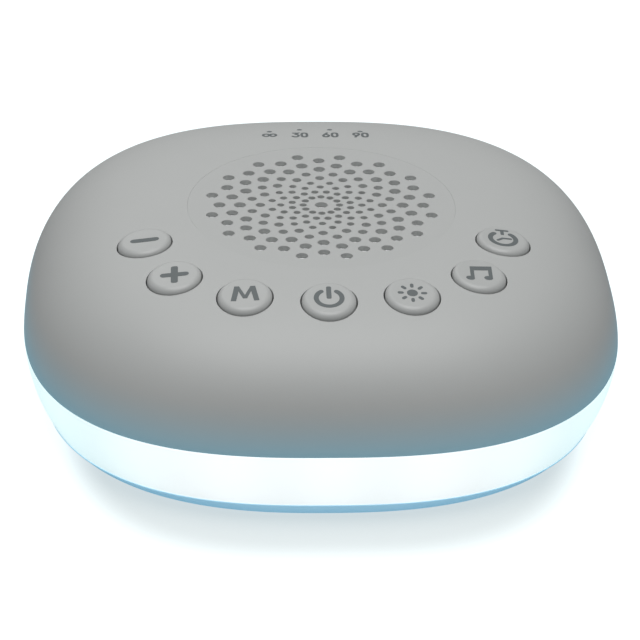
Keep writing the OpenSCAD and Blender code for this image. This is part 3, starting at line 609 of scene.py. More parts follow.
def band_tree(values, material):
    """The light band: walls round its section, from the base up and back down inside."""
    tree, given = new_tree("light_band", values)
    known = chain(tree, MATH, dict(given.items()), [
        (size + " rounded", "MULTIPLY_ADD", "Edge", sign, size)
        for size, sign in (("Bottom half", -1.0), ("Bottom height", 1.0),
                           ("Seam height", -1.0), ("Top half", -1.0))])
    profile = [
        ("Bottom half rounded", "Bottom squareness", "Bottom height", 3),
        ("Bottom half", "Bottom squareness", "Bottom height rounded", 28),
        ("Top half", "Top squareness", "Seam height rounded", 3),
        ("Top half rounded", "Top squareness", "Seam height", 1),
        ("Tongue outside", "Top squareness", "Seam height", 1),
        ("Tongue outside", "Top squareness", "Tongue top", 1),
        ("Tongue inside", "Top squareness", "Tongue top", 4),
        ("Inner half", "Bottom squareness", "Bottom height", 1)]
    wall_tree = outline_wall_tree()
    walls = []
    for start, end in zip(profile, profile[1:] + profile[:1]):
        links = {"Around": AROUND, "Rows": start[3],
                 "Bulge": known["Bulge"] if start[0] == "Bottom half" else 0.0}
        for k, size in enumerate(("half", "squareness", "height")):
            links.update({"Start " + size: known[start[k]], "End " + size: known[end[k]]})
        walls.append(add_node(tree, "GeometryNodeGroup", links, node_tree=wall_tree))
    return end_tree(tree, walls, material)


def grille_tree(values, material):
    """The grille disc: a plate with rings of round-lipped holes."""
    tree, given = new_tree("speaker_grille", values)
    known = chain(tree, MATH, dict(given.items()), [
        ("half turn", "DIVIDE", math.pi, "Ring holes"),
        ("down", "MULTIPLY", "Thickness", -1.0),
        ("disc brim", "SUBTRACT", "Disc radius", "Disc lip")])

    def sleeve(radius, lip, outward, around):
        """A round wall through the plate whose upper edge is rounded."""
        tube, near = open_tube(tree, around, 6)
        # the power crowds the rows where the edge is rounded
        near.update(radius=radius, lip=lip, thick=given["Thickness"])
        chain(tree, MATH, near, [
            ("depth", "SUBTRACT", 0.5, "z"), ("depth", "POWER", "depth", 2.2),
            ("depth", "MULTIPLY", "depth", "thick"), ("left", "MINIMUM", "depth", "lip"),
            ("left", "SUBTRACT", "lip", "left"), ("left", "MULTIPLY", "left", "left"),
            ("arc", "MULTIPLY", "lip", "lip"), ("arc", "SUBTRACT", "arc", "left"),
            ("arc", "SQRT", "arc"), ("flare", "SUBTRACT", "lip", "arc"),
            ("size", "SUBTRACT" if outward else "ADD", "radius", "flare"),
            ("x", "MULTIPLY", "x", "size"), ("y", "MULTIPLY", "y", "size"),
            ("z", "MULTIPLY", "depth", -1.0)])
        return moved_to(tree, tube, near)

    def ring(radius, count, turn):
        """The points of one ring of holes."""
        points = add_node(tree, "GeometryNodeMeshCircle", {"Vertices": count, "Radius": radius})
        angle = add_node(tree, "ShaderNodeCombineXYZ", {2: turn})
        return add_node(tree, "GeometryNodeTransform", {"Geometry": points, "Rotation": angle})

    rings = {"Centre hole": [add_node(tree, "GeometryNodePoints", {"Count": 1})],
             "Small hole": [ring(given["First ring"], given["First holes"], 0.0)],
             "Middling hole": [], "Large hole": []}
    order = ["Small hole", "Small hole", "Middling hole", "Large hole", "Large hole"]
    for first, turn, sizes in (("Second ring", known["half turn"], order),
                               ("Third ring", 0.0, order[1:])):
        for k, size in enumerate(sizes):
            out = add_node(tree, MATH, [given["Ring step"], float(k), given[first]],
                           operation="MULTIPLY_ADD")
            rings[size].append(ring(out, given["Ring holes"], turn))

    plate, upper, under = [], [], []
    for size, parts in rings.items():
        spots = add_node(tree, JOIN, [parts])
        chain(tree, MATH, known, [("radius", "DIVIDE", size, 2.0),
                                  ("brim", "ADD", "radius", "Lip")])
        shapes = [sleeve(known["radius"], given["Lip"], False, HOLE_SIDES)]
        shapes += [add_node(tree, "GeometryNodeCurvePrimitiveCircle",
                            {"Resolution": HOLE_SIDES, "Radius": known[edge]})
                   for edge in ("brim", "radius")]
        for shape, target in zip(shapes, (plate, upper, under)):
            placed = add_node(tree, "GeometryNodeInstanceOnPoints",
                              {"Points": spots, "Instance": shape})
            target.append(add_node(tree, "GeometryNodeRealizeInstances", [placed]))
    plate.append(sleeve(given["Disc radius"], given["Disc lip"], True, DISC_SIDES))
    for curves, radius, drop in ((upper, known["disc brim"], 0.0),
                                 (under, given["Disc radius"], known["down"])):
        curves.append(add_node(tree, "GeometryNodeCurvePrimitiveCircle",
                               {"Resolution": DISC_SIDES, "Radius": radius}))
        joined = add_node(tree, JOIN, [curves])
        filled = add_node(tree, "GeometryNodeFillCurve", {"Curve": joined})
        down = add_node(tree, "ShaderNodeCombineXYZ", {2: drop})
        plate.append(add_node(tree, "GeometryNodeTransform",
                              {"Geometry": filled, "Translation": down}))
    return end_tree(tree, plate, material)


# ---- casing ----


def make_housing(sizes, colours):
    """The domed top housing, pierced for the grille, caps, timer lights and inlet."""
    outer, inner = outer_dome(sizes), inner_dome(sizes)
    seam, edge, half = seam_z(sizes), sizes.edge / MM, sizes.body_w / MM / 2
    guide_under = (sizes.crown_z - sizes.guide_depth) / MM
    lay = outer.flatten

    # each opening has loops a little way out from its brim, so that the faces there stay small
    openings = []
    bore_r = (sizes.cap_d / 2 + sizes.cap_gap) / MM
    bore_back = bore_r + sizes.guide_wall / MM
    for key in KEYS:
        openings.append(round_opening(
            middle("button_" + key), bore_r, sizes.bore_edge / MM, 80, (0, 0.3, 0.8), outer.z,
            [(bore_r, guide_under), (bore_back, guide_under)], bore_back,
            bore_back + 0.4, lay))
    pipe_slack, pipe_edge, seat_edge = 0.05, 0.07, 0.01
    pipe_r = sizes.pipe_d / MM / 2 + pipe_slack
    for spot in timer_places(sizes):
        openings.append(round_opening(spot, pipe_r, pipe_edge, HOLE_SIDES,
                                      (0, 0.25, 0.7), outer.z, [], pipe_r + 0.3,
                                      pipe_r + 1.2, lay))
    seat_r = (sizes.grille_d / 2 + sizes.grille_gap) / MM
    well_r, wall_r = sizes.well_r / MM, (sizes.well_r + sizes.well_wall) / MM
    seat_z, well_z = low("speaker_grille", 2), high("speaker_retainer", 2)
    openings.append(round_opening(
        (0, 0), seat_r, seat_edge, DISC_SIDES, (0, 0.3, 0.9), outer.z,
        [(seat_r, seat_z), (well_r, seat_z), (well_r, well_z), (wall_r, well_z)],
        wall_r, wall_r + 1.2, lay))
    slot = inlet_opening(sizes, outer, inner)
    openings.append(slot)

    # rings of points from the grille's seat to the edge, rounder near the middle
    edge_run, start, count = outer.run[-1] - edge, seat_r + 1.8, 44
    rings = []
    for share in np.arange(count + 1) / count:
        n = 2 + (sizes.plan_n - 2) * min(1, share * 3)
        rings.append(outline(start + (edge_run - start) * share, n, 0)[:, :2])

    def back(laid, top):
        """The inner surface's points behind the outer ones."""
        flat = top[:, :2]
        span = outer.span(flat)
        bend = outer.half - 3 * sizes.shell_wall / MM
        squeeze = (inner.half - bend) / (outer.half - bend)
        new_span = np.where(span > bend, bend + (span - bend) * squeeze, span)
        flat = flat * (new_span / span)[:, None]
        for opening in openings[:-1]:
            flat = opening.warp(flat)
        return slot.warp(top, lifted(flat, inner.z(flat)))

    rim_rows = [outline(half - edge * (1 - math.cos(a)), sizes.plan_n,
                        seam + edge * (1 - math.sin(a)))
                for a in EDGE_STEPS]
    rim_rows.append(outline(half - sizes.shell_wall / MM, sizes.plan_n, seam))
    piece = pierced_wall("top_housing_shell", rings, openings, outer.place, back, rim_rows,
                         outer.normal)
    material = grained_plastic("housing_abs", colours.housing)
    # painted glow: the housing glows blue from just below the seam, fading out 9 mm above it, in place
    # of the band's light falling on it
    below, above, strength = 3, 9, 0.28
    paint_glow(material, colours.painted_glow, (seam - below) * MM, (seam + above) * MM,
                      strength, 0.0)
    dress(piece, "case", "housing", material, "top_housing")


def inlet_opening(sizes, outer, inner):
    """The slot in the housing's back that the power inlet looks out of."""
    node_low, node_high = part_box("inlet_shell")
    middle_z = (node_low.z + node_high.z) / MM / 2
    slack = sizes.inlet_slack / MM
    round_r = (node_high.z - node_low.z) / MM / 2 + slack
    flat_half = node_high.x / MM - round_r + slack
    edge = sizes.edge / MM

    def brim_loop(out):
        """The slot's loop with its rounding and a distance out, clockwise from behind."""
        return racetrack(flat_half, middle_z, round_r + out, 16, (0.6, 0.2, -0.2, -0.6))

    def on_surface(loop):
        """A loop of x and z laid out flat with the housing's outer surface."""
        x, z = loop.T
        share = (z - outer.seam) / outer.height
        span = outer.half * (1 - share ** outer.m) ** (1 / outer.q)
        run = np.interp(np.arccos(share ** (outer.m / 2)), outer.turn, outer.run)
        return (np.column_stack([x, outer.y(x, z)]) * (run / span)[:, None])[::-1]

    brim = brim_loop(edge)
    loops = [on_surface(brim_loop(edge + out)) for out in (0, 0.3, 0.8)]
    rows = []
    for a in EDGE_STEPS:
        x, z = brim_loop(edge * (1 - math.sin(a))).T
        depth = outer.y(*brim.T) - edge * (1 - math.cos(a))
        rows.append(np.column_stack([x, depth, z])[::-1])

    def warp(top, under):
        """Near the slot, the inner surface keeps the outer one's x and z."""
        x, z = top[:, 0], top[:, 2]
        reach, full, seam_gap = 7, 1, 0.8
        off = np.hypot(np.maximum(abs(x) - flat_half, 0), z - middle_z) - round_r
        near = (top[:, 1] > 0) & (off < reach) & (z > inner.seam + seam_gap)
        share = np.where(near, np.clip((reach - off) / (reach - full), 0, 1), 0)
        up = np.clip((z - inner.seam) / inner.height, 0, 0.98)
        span = inner.half * (1 - up ** inner.m) ** (1 / inner.q)
        y = np.maximum(span ** inner.n - abs(x) ** inner.n, 0) ** (1 / inner.n)
        wanted = np.column_stack([x, y, z])
        share = share[:, None]
        return np.where(share > 0, under * (1 - share) + wanted * share, under)

    return Opening(loops, rows, warp)


def make_grille(sizes, colours):
    """The grille disc, bent to the housing's crown."""
    material = grained_plastic("grille_abs", colours.grille)
    disc_lip = 0.01 * MM
    values = {
        "Disc radius": sizes.grille_d / 2, "Thickness": sizes.grille_t, "Lip": sizes.hole_lip,
        "Disc lip": disc_lip, "Centre hole": sizes.centre_hole, "Small hole": sizes.small_hole,
        "Middling hole": sizes.mid_hole, "Large hole": sizes.large_hole,
        "First ring": sizes.first_ring, "Second ring": sizes.second_ring,
        "Third ring": sizes.third_ring, "Ring step": sizes.ring_step,
        "Ring holes": sizes.ring_holes, "First holes": sizes.first_holes}
    piece = grow("speaker_grille_disc", grille_tree(values, material), values)
    weld(piece.data)
    outer = outer_dome(sizes)
    mesh = piece.data
    points = np.array([v.co for v in mesh.vertices]) / MM
    points[:, :2] = turned(points[:, :2], sizes.grille_turn)
    flat_top = points[:, 2] > -1e-4
    spots = points[:, :2] + 1e-6  # off the middle, where the dome's direction isn't known
    points[:, 2] += outer.z(spots) - sizes.crown_z / MM + high("speaker_grille", 2)
    normals = np.zeros_like(points)
    normals[flat_top] = outer.normal(lifted(spots, outer.z(spots)))[flat_top]
    mesh.vertices.foreach_set("co", (points * MM).ravel())
    mesh.update()
    finish_shading(mesh, math.radians(40), normals)
    dress(piece, "case", "grille", material, "speaker_grille")
    mesh_node = frame["nodes"]["dust_mesh"]
    mesh_node.data.materials.clear()
    mesh_node.data.materials.append(woven_cloth("dust_mesh_cloth", "#e0e2e2", 0.42))


def weld(mesh):
    """Merge what lies together and point the faces outwards."""
    shape = bmesh.new()
    shape.from_mesh(mesh)
    bmesh.ops.remove_doubles(shape, verts=shape.verts, dist=WELD)
    bmesh.ops.recalc_face_normals(shape, faces=shape.faces)
    shape.to_mesh(mesh)
    shape.free()


def make_band(sizes, colours):
    """The glowing band between the housing and the base."""
    material = glowing_diffuser(sizes, colours)
    seam = seam_z(sizes) * MM
    tongue = sizes.body_w / 2 - sizes.shell_wall - TONGUE_SLACK * MM
    values = {
        "Top half": sizes.body_w / 2, "Bottom half": sizes.band_bottom_w / 2,
        "Top squareness": sizes.plan_n, "Bottom squareness": sizes.band_bottom_n,
        "Seam height": seam, "Bottom height": sizes.band_z,
        "Tongue top": seam + sizes.tongue_h, "Tongue outside": tongue,
        "Tongue inside": tongue - sizes.tongue_t,
        "Inner half": sizes.band_bottom_w / 2 - sizes.band_wall,
        "Bulge": sizes.band_bulge, "Edge": BAND_EDGE * MM}
    piece = grow("light_ring_diffuser", band_tree(values, material), values)
    finish_shading(piece.data, math.radians(35))
    dress(piece, "case", "diffuser", material, "light_ring")


def make_base(sizes, colours):
    """The base tray with its foot recesses and screw posts."""
    bottom, top = sizes.rim_z / MM, sizes.band_z / MM
    half, edge = sizes.rim_bottom_w / MM / 2, 0.6 * sizes.edge / MM
    recess_top = bottom + sizes.foot_recess / MM
    # above each foot: the seat of the screw's head, the screw's hole, and the post round it
    head_h, head_r, screw_r, post_r = 1.7, 2.5, 1.25, 2.8
    head_top, post_top = recess_top + head_h, low("top_housing", 2)
    openings = []
    for node in FEET:
        slack, brim = 0.05, 0.06
        foot_r = radius_of(node) + slack
        rows = [(foot_r, recess_top), (head_r, recess_top), (head_r, head_top),
                (screw_r, head_top), (screw_r, post_top), (post_r, post_top)]
        opening = round_opening(middle(node), foot_r, brim, 64, (0,),
                                lambda flat: np.full(len(flat), bottom),
                                rows, post_r, foot_r + 2, lambda flat: flat)
        for k, a in enumerate(BORE_STEPS):
            opening.rows[k][:, 2] = bottom + brim * (1 - math.cos(a))
        openings.append(opening)
    rings = [outline(half * share, 2 + (sizes.rim_bottom_n - 2) * share, 0)[:, :2]
             for share in np.linspace(0.06, 1, 22) ** 0.8]
    rings[-1] = outline(half - edge, sizes.rim_bottom_n, 0)[:, :2]
    lip_slack = 0.2
    lip_out = (sizes.band_bottom_w / 2 - sizes.band_wall) / MM - lip_slack
    lip_in = lip_out - sizes.lip_t / MM
    band_half, n = sizes.band_bottom_w / MM / 2, sizes.band_bottom_n

    def back(laid, under):
        """The tray's floor over its underside."""
        flat = laid * (lip_in / (half - edge))
        for opening in openings:
            flat = opening.warp(flat)
        return lifted(flat, top)

    rim_rows = [outline(half - edge + edge * math.sin(a), sizes.rim_bottom_n,
                        bottom + edge * (1 - math.cos(a)))
                for a in EDGE_STEPS]
    rim_rows += [outline(band_half - BAND_EDGE * (1 - math.cos(a)), n,
                         top - BAND_EDGE * (1 - math.sin(a)))
                 for a in np.radians([0, 45, 90])]
    rim_rows += [outline(lip_out, n, top), outline(lip_out, n, top + sizes.lip_h / MM),
                 outline(lip_in, n, top + sizes.lip_h / MM)]
    piece = pierced_wall("base_tray_moulding", rings, openings,
                         lambda laid: lifted(laid, bottom), back, rim_rows,
                         lambda points: np.tile([0.0, 0.0, -1.0], (len(points), 1)), flip=True)
    material = grained_plastic("base_abs", colours.rim, grain=0.25)
    # painted glow: the whole tray is given an even light-blue glow, standing in for the band's light
    # falling on its rim
    paint_glow(material, colours.rim_painted_glow, bottom * MM, top * MM, 0.42, 0.42)
    dress(piece, "case", "base_plastic", material, "base_tray")


def make_feet(colours):
    """Four moulded silicone feet with a shallow dish underneath."""
    material = moulded_rubber("foot_silicone", colours.rubber)
    # painted glow: the feet glow faintly in the band's colour so that they read lighter in the shade
    # under the rim
    paint_glow(material, colours.glow, 0, low("base_tray", 2) * MM, 0.2, 0.3)
    hollow = 0.12
    # from the dish in the middle, over the tread and its rounded corner, up to the top
    for node in FEET:
        spot, radius, top = middle(node), radius_of(node), high(node, 2)
        corner = [(radius - 0.9 + 0.7 * math.sin(a), 0.6 - 0.6 * math.cos(a))
                  for a in np.radians([0, 22, 45, 68, 90])]
        profile = ([(radius - 2.4, hollow), (radius - 2.0, 0.0)] + corner
                   + [(radius, 1.5), (radius, top - 0.1), (radius - 0.1, top)])
        rows = [lifted(circle(spot, out, 64), z) for out, z in profile[::-1]]
        piece = skin(node + "_pad", rows, (*spot, top), (*spot, hollow))
        dress(piece, "case", "foot_rubber", material, node)


# ---- buttons ----


def cap_plane(key, sizes):
    """Height function of a cap's sloping top."""
    outer = outer_dome(sizes)
    spot = middle("button_" + key)
    rise = outer.slope(spot)
    top = outer.z(np.array([spot]))[0] + sizes.cap_proud / MM
    return spot, lambda flat: top + (flat - spot) @ rise


def make_caps(sizes, colours):
    """Seven press buttons, each with its guide flange and stem."""
    material = satin_plastic("cap_abs", colours.cap)
    radius, soft = sizes.cap_d / MM / 2, sizes.cap_round / MM
    guide_under = (sizes.crown_z - sizes.guide_depth) / MM
    flange_under = guide_under - sizes.flange_t / MM
    for key in KEYS:
        spot, plane = cap_plane(key, sizes)
        flange_r, under = radius_of("button_" + key), low("button_" + key, 2)
        stem_r, hollow_r = sizes.stem_d / MM / 2, radius - sizes.cap_wall / MM
        peak = plane(np.array([spot]))[0]
        crown_t, count = 2.4, 96
        ceiling = peak - crown_t
        rows = []
        for share in (0.25, 0.5, 0.75, 0.9, 1):
            flat = circle(spot, (radius - soft) * share, count)
            rows.append(lifted(flat, plane(flat) + dish(share)))
        for a in np.radians([8, 16, 25, 34, 43, 52, 61, 70, 80, 90]):
            flat = circle(spot, radius - soft + soft * math.sin(a), count)
            rows.append(lifted(flat, plane(flat) + dish(1) - soft * (1 - math.cos(a))))
        rows += [lifted(circle(spot, r, count), z) for r, z in (
            (radius, guide_under), (flange_r, guide_under), (flange_r, flange_under),
            (hollow_r, flange_under), (hollow_r, ceiling), (stem_r, ceiling), (stem_r, under))]
        piece = skin("button_" + key + "_cap", rows, (*spot, peak + dish(0)), (*spot, under))
        dress(piece, "key_" + key, "button_cap", material, "button_" + key)


def dish(share):
    """How far a cap's top is dished at a share of its radius, in millimetres."""
    return -0.02 - 0.08 * (1 - share ** 2)


# ---- print ----


def stroke(path, width, corner=None):
    """The outline of a line of some width with rounded ends."""
    path = np.asarray(path, float)
    half = width / 2
    corner = half if corner is None else corner
    step = np.diff(path, axis=0)
    step /= np.linalg.norm(step, axis=1)[:, None]
    side = np.column_stack([-step[:, 1], step[:, 0]])
    lean = np.vstack([side[:1], side[:-1] + side[1:], side[-1:]])
    lean /= np.linalg.norm(lean, axis=1)[:, None]
    grow_by = half / np.maximum(0.4, (lean * np.vstack([side[:1], side])).sum(1))

    def end(point, ahead, left):
        """Points round one end, from its left side to its right."""
        found = []
        first = (0,) if corner < half else ()
        for sign, angles in ((1, (90, 60, 30, 0)), (-1, (*first, -30, -60, -90))):
            for a in np.radians(angles):
                found.append(point + sign * left * (half - corner)
                             + corner * (math.cos(a) * ahead + math.sin(a) * left))
        return np.array(found)

    shift = half - corner
    body_left = path[1:-1] + lean[1:-1] * grow_by[1:-1, None]
    body_right = path[1:-1] - lean[1:-1] * grow_by[1:-1, None]
    return [np.vstack([body_left, end(path[-1] + step[-1] * shift, step[-1], side[-1]),
                       body_right[::-1], end(path[0] - step[0] * shift, -step[0], -side[0])])]


def arc_path(centre, radius, start, stop, count=40):
    """Points along an arc, with its angles in degrees."""
    turn = np.radians(np.linspace(start, stop, count))
    return np.asarray(centre) + radius * np.column_stack([np.cos(turn), np.sin(turn)])


def loop_stroke(centre, across, up, width, power=2.0, count=40):
    """A closed oval line of some width: its outer and inner loops."""
    turn = np.arange(count) * 2 * math.pi / count
    unit = np.column_stack([np.sign(np.cos(turn)) * abs(np.cos(turn)) ** (2 / power),
                            np.sign(np.sin(turn)) * abs(np.sin(turn)) ** (2 / power)])
    sizes = np.array([across, up])
    return [np.asarray(centre) + unit * (sizes + width / 2),
            np.asarray(centre) + (unit * (sizes - width / 2))[::-1]]


def blob(centre, across, up, count=32):
    """A filled oval."""
    return [np.asarray(centre) + circle((0, 0), 1, count) * [across, up]]


# each symbol is a list of shapes in millimetres about the middle of its cap
SYMBOLS = {
    "minus": [stroke([(-1.88, 0), (1.88, 0)], 1.22)],
    "plus": [stroke([(-1.87, 0), (1.87, 0)], 1.15), stroke([(0, -1.87), (0, 1.87)], 1.2, 0.38)],
    "mode": [[np.array([(-2.4, -2.0), (-1.5, -2.0), (-1.05, 0.65), (-0.35, -1.3), (0.35, -1.3),
                        (1.05, 0.65), (1.5, -2.0), (2.4, -2.0), (1.75, 2.0), (0.95, 2.0),
                        (0, -0.35), (-0.95, 2.0), (-1.75, 2.0)])]],
    "power": [stroke(arc_path((0, 0), 2.15, 126, 414), 0.84), stroke([(0, 0.3), (0, 2.6)], 0.84, 0.25)],
    "light": [blob((0, 0), 0.92, 0.92)] + [
        stroke([(1.72 * math.cos(a), 1.72 * math.sin(a)),
                (2.2 * math.cos(a), 2.2 * math.sin(a))], 0.6)
        for a in np.radians(np.arange(0, 360, 45))],
    "sound": [stroke([(-1.2, -1.5), (-1.2, 1.2)], 0.66, 0.05),
              stroke([(1.9, -1.1), (1.9, 1.6)], 0.66, 0.05),
              [np.array([(-1.53, 0.75), (2.23, 1.2), (2.23, 2.3), (-1.53, 1.85)])],
              blob((-1.6, -1.6), 0.75, 0.6), blob((1.5, -1.2), 0.75, 0.6)],
    "timer": [stroke(arc_path((0, 0), 2.2, 131, 411), 0.88), stroke([(0, 1.7), (0, 2.6)], 0.6, 0.1),
              stroke([(-0.95, 2.85), (0.95, 2.85)], 0.5),
              stroke([(-0.95, -0.6), (-0.05, 0.2), (1.35, 0.2)], 0.5)],
}

DIGIT_W = 0.44
DIGIT_WIDER, DIGIT_TALLER = 1.05, 1.12
DIGITS = {
    "0": [loop_stroke((0, 0), 0.47, 0.9, DIGIT_W, 2.5)],
    "3": [stroke(np.vstack([[(-0.42, 0.9), (0.4, 0.9), (0.02, 0.26)],
                            arc_path((-0.05, -0.32), 0.56, 72, -150, 20)]), DIGIT_W)],
    "6": [loop_stroke((0, -0.36), 0.48, 0.54, DIGIT_W), stroke([(-0.42, -0.12), (0.2, 0.92)], DIGIT_W)],
    "9": [loop_stroke((0, 0.36), 0.48, 0.54, DIGIT_W), stroke([(0.42, 0.12), (-0.2, -0.92)], DIGIT_W)],
    "endless": [loop_stroke((-0.6, 0), 0.53, 0.56, DIGIT_W), loop_stroke((0.6, 0), 0.53, 0.56, DIGIT_W)],
}
MARKS = ("endless",), ("3", "0"), ("6", "0"), ("9", "0")


def printed(name, shapes, surface, thickness):
    """Flat shapes laid on a surface as thin films, each a little thicker than the last."""
    points, faces = [], []
    for number, loops in enumerate(shapes):
        flat = np.vstack(loops)
        fill = tessellate_polygon([[Vector((*p, 0)) for p in loop] for loop in loops])
        base, count = len(points), len(flat)
        top = surface(flat) + thickness * (1 + 0.12 * number)
        points += np.vstack([lifted(flat, top), lifted(flat, surface(flat) - thickness)]).tolist()
        for face in fill:
            a, b, c = (flat[i] for i in face)
            up = (b[0] - a[0]) * (c[1] - a[1]) - (b[1] - a[1]) * (c[0] - a[0]) > 0
            face = np.array(face if up else face[::-1])
            faces += [base + face, base + count + face[::-1]]
        for loop in loops:
            row = np.arange(base, base + len(loop))
            faces += bridge(row, row + count, True)
            base += len(loop)
    return mesh_object(name, points, faces)


def anticlockwise(loops):
    """Loops with the outer one anticlockwise and the others clockwise."""
    ordered = []
    for number, loop in enumerate(loops):
        x, y = loop[:, 0], loop[:, 1]
        area = (x * np.roll(y, -1) - np.roll(x, -1) * y).sum()
        ordered.append(loop if (area > 0) == (number == 0) else loop[::-1])
    return ordered


def print_symbols(sizes, colours):
    """The symbols on the caps."""
    material = printing_ink("cap_ink", colours.print_)
    for key, shapes in SYMBOLS.items():
        spot, plane = cap_plane(key, sizes)
        reach = (sizes.cap_d / 2 - sizes.cap_round) / MM

        def surface(flat, spot=spot, plane=plane, reach=reach):
            """Height of the cap's dished top."""
            share = np.minimum(np.hypot(*(flat - spot).T) / reach, 1)
            return plane(flat) + dish(share)

        placed = [anticlockwise([loop + spot for loop in loops]) for loops in shapes]
        piece = printed("symbol_" + key, placed, surface, sizes.ink / MM)
        dress(piece, "key_" + key, "button_cap", material)


def print_marks(sizes, colours):
    """The timer marks, endless and three times in minutes."""
    material = printing_ink("mark_ink", colours.print_)
    outer = outer_dome(sizes)
    step, back = sizes.timer_step / MM, sizes.mark_y / MM
    digit_step = 1.6
    shapes = []
    for number, mark in enumerate(MARKS):
        for k, digit in enumerate(mark):
            offset = ((number - 1.5) * step + (k - (len(mark) - 1) / 2) * digit_step, back)
            for loops in DIGITS[digit]:
                laid = [loop * (DIGIT_WIDER, DIGIT_TALLER) + offset for loop in loops]
                shapes.append(anticlockwise([turned(loop, features_turn()) for loop in laid]))
    piece = printed("timer_marks", shapes, outer.z, sizes.ink / MM)
    dress(piece, "case", "housing", material)


# ---- power inlet ----


def make_inlet(sizes):
    """The inlet's rolled metal shell and its tongue with contact pads."""
    node_low, node_high = (np.array(corner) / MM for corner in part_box("inlet_shell"))
    back, mouth = node_low[1], node_high[1]
    middle_z = (node_low[2] + node_high[2]) / 2
    outside = (node_high[2] - node_low[2]) / 2
    flat_half = node_high[0] - outside
    wall = sizes.inlet_wall / MM

    def loop_at(radius, y):
        """The shell's loop of some radius, at one depth."""
        x, z = racetrack(flat_half, middle_z, radius, 14).T
        return np.column_stack([x, np.full(len(x), y), z])

    floor_t = 0.8
    inside_r, lip, floor = outside - wall, wall / 2, back + floor_t
    rows = [loop_at(outside, back), loop_at(outside, mouth - lip)]
    rows += [loop_at(outside - lip + lip * math.cos(a), mouth - lip + lip * math.sin(a))
             for a in np.radians([30, 60, 90, 120, 150, 180])]
    rows.append(loop_at(inside_r, floor))
    piece = skin("inlet_shell_rolled", rows, (0, back, middle_z), (0, floor, middle_z))
    weld(piece.data)
    finish_shading(piece.data, math.radians(35))
    dress(piece, "case", "inlet_metal", plated_metal("nickel_shell", "#c2c6c8", 0.28), "inlet_shell")

    tongue_low, tongue_high = (np.array(corner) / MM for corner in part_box("inlet_tongue"))
    tongue = rounded_block("inlet_tongue_moulding", tongue_low, tongue_high, 0.15)
    dress(tongue, "case", "dark_plastic", dark_moulding("tongue_lcp", "#26282a"), "inlet_tongue")
    count, pitch, half, proud = 12, 0.5, 0.14, 0.03
    from_end, to_end = 3.6, 0.5
    pads = []
    for face in (tongue_low[2], tongue_high[2]):
        for x in (np.arange(count) - (count - 1) / 2) * pitch:
            pads.append(([x - half, tongue_high[1] - from_end, face - proud],
                         [x + half, tongue_high[1] - to_end, face + proud]))
    contacts = blocks("inlet_contacts", pads)
    dress(contacts, "case", "inlet_metal", plated_metal("gold_contacts", "#d9b25a", 0.25))


def blocks(name, spans):
    """Small plain blocks, each given by its lowest and highest corner."""
    points, faces = [], []
    for lowest, highest in spans:
        base = len(points)
        points += [[(lowest, highest)[i >> axis & 1][axis] for axis in range(3)]
                   for i in range(8)]
        faces += [tuple(base + i for i in f) for f in
                  ((0, 2, 3, 1), (4, 5, 7, 6), (0, 1, 5, 4), (2, 6, 7, 3), (0, 4, 6, 2),
                   (1, 3, 7, 5))]
    return mesh_object(name, points, faces)


def rounded_block(name, lowest, highest, edge):
    """A block whose edges are rounded."""
    piece = blocks(name, [(lowest, highest)])
    shape = bmesh.new()
    shape.from_mesh(piece.data)
    bmesh.ops.bevel(shape, geom=shape.edges[:], offset=edge * MM, segments=3,
                    affect="EDGES", profile=0.5)
    shape.to_mesh(piece.data)
    shape.free()
    finish_shading(piece.data, math.radians(40))
    return piece


# ---- materials ----


def new_material(name):
    """An empty material, its shader and the place that patterns read."""
    material = bpy.data.materials.new(name)
    material.use_nodes = True
    tree = material.node_tree
    shader = tree.nodes["Principled BSDF"]
    place = add_node(tree, "ShaderNodeTexCoord").outputs["Object"]
    return material, tree, shader, place


def per_mm(size):
    """Scale of a pattern whose features are size millimetres across."""
    return 1 / (size * MM)


def mottle(tree, place, rgb, size, amount):
    """A colour that varies slightly, in patches of some size."""
    cloud = add_node(tree, NOISE, {"Vector": place, "Scale": per_mm(size), "Detail": 3.0})
    shade = add_node(tree, SPREAD, {"Value": cloud, "To Min": 1 - amount, "To Max": 1 + amount})
    return add_node(tree, "ShaderNodeVectorMath", {0: tuple(rgb), "Scale": shade},
                    operation="SCALE")


def patterned(name, rgb, patches, kind, size, relief, gloss, inputs=(), output=0, more=(),
              **settings):
    """A mottled material whose fine pattern bends the light, varies the gloss, or both."""
    material, tree, shader, place = new_material(name)
    fine = add_node(tree, kind, {"Vector": place, "Scale": per_mm(size), **dict(inputs)},
                    **settings).outputs[output]
    rough = add_node(tree, SPREAD, {"Value": fine, "To Min": gloss[0], "To Max": gloss[1]})
    fill(shader, {"Base Color": mottle(tree, place, rgb, *patches), "Roughness": rough,
                  **dict(more)})
    if relief:
        bump = {"Height": fine, "Strength": relief[0], "Distance": relief[1] * MM}
        fill(shader, {"Normal": add_node(tree, BUMP, bump)})
    return material


def satin_plastic(name, rgb):
    """ABS moulded against a fine-blasted tool: smoother than the housing, with soft gloss."""
    return patterned(name, rgb, (5, 0.01), NOISE, 0.3, (0.08, 0.02), (0.36, 0.46),
                     {"Detail": 2.0}, more={"IOR": 1.53})


def printing_ink(name, rgb):
    """Pad-printed ink: a thin matt film whose density varies a little."""
    return patterned(name, rgb, (0.5, 0.06), NOISE, 0.2, (0.1, 0.01), (0.6, 0.6),
                     {"Detail": 2.0})


def moulded_rubber(name, rgb):
    """Silicone rubber, moulded: matt, with a faint bloom and fine pitting."""
    return patterned(name, rgb, (1.5, 0.12), NOISE, 0.15, (0.25, 0.03), (0.78, 0.78),
                     {"Detail": 3.0}, more={"IOR": 1.41})


def dark_moulding(name, code, rough=0.5, grain=0.25):
    """Engineering plastic, injection moulded: even colour with a fine satin grain."""
    return patterned(name, linear(code), (2, 0.06), NOISE, grain, (0.15, 0.02), (rough, rough),
                     {"Detail": 2.0})


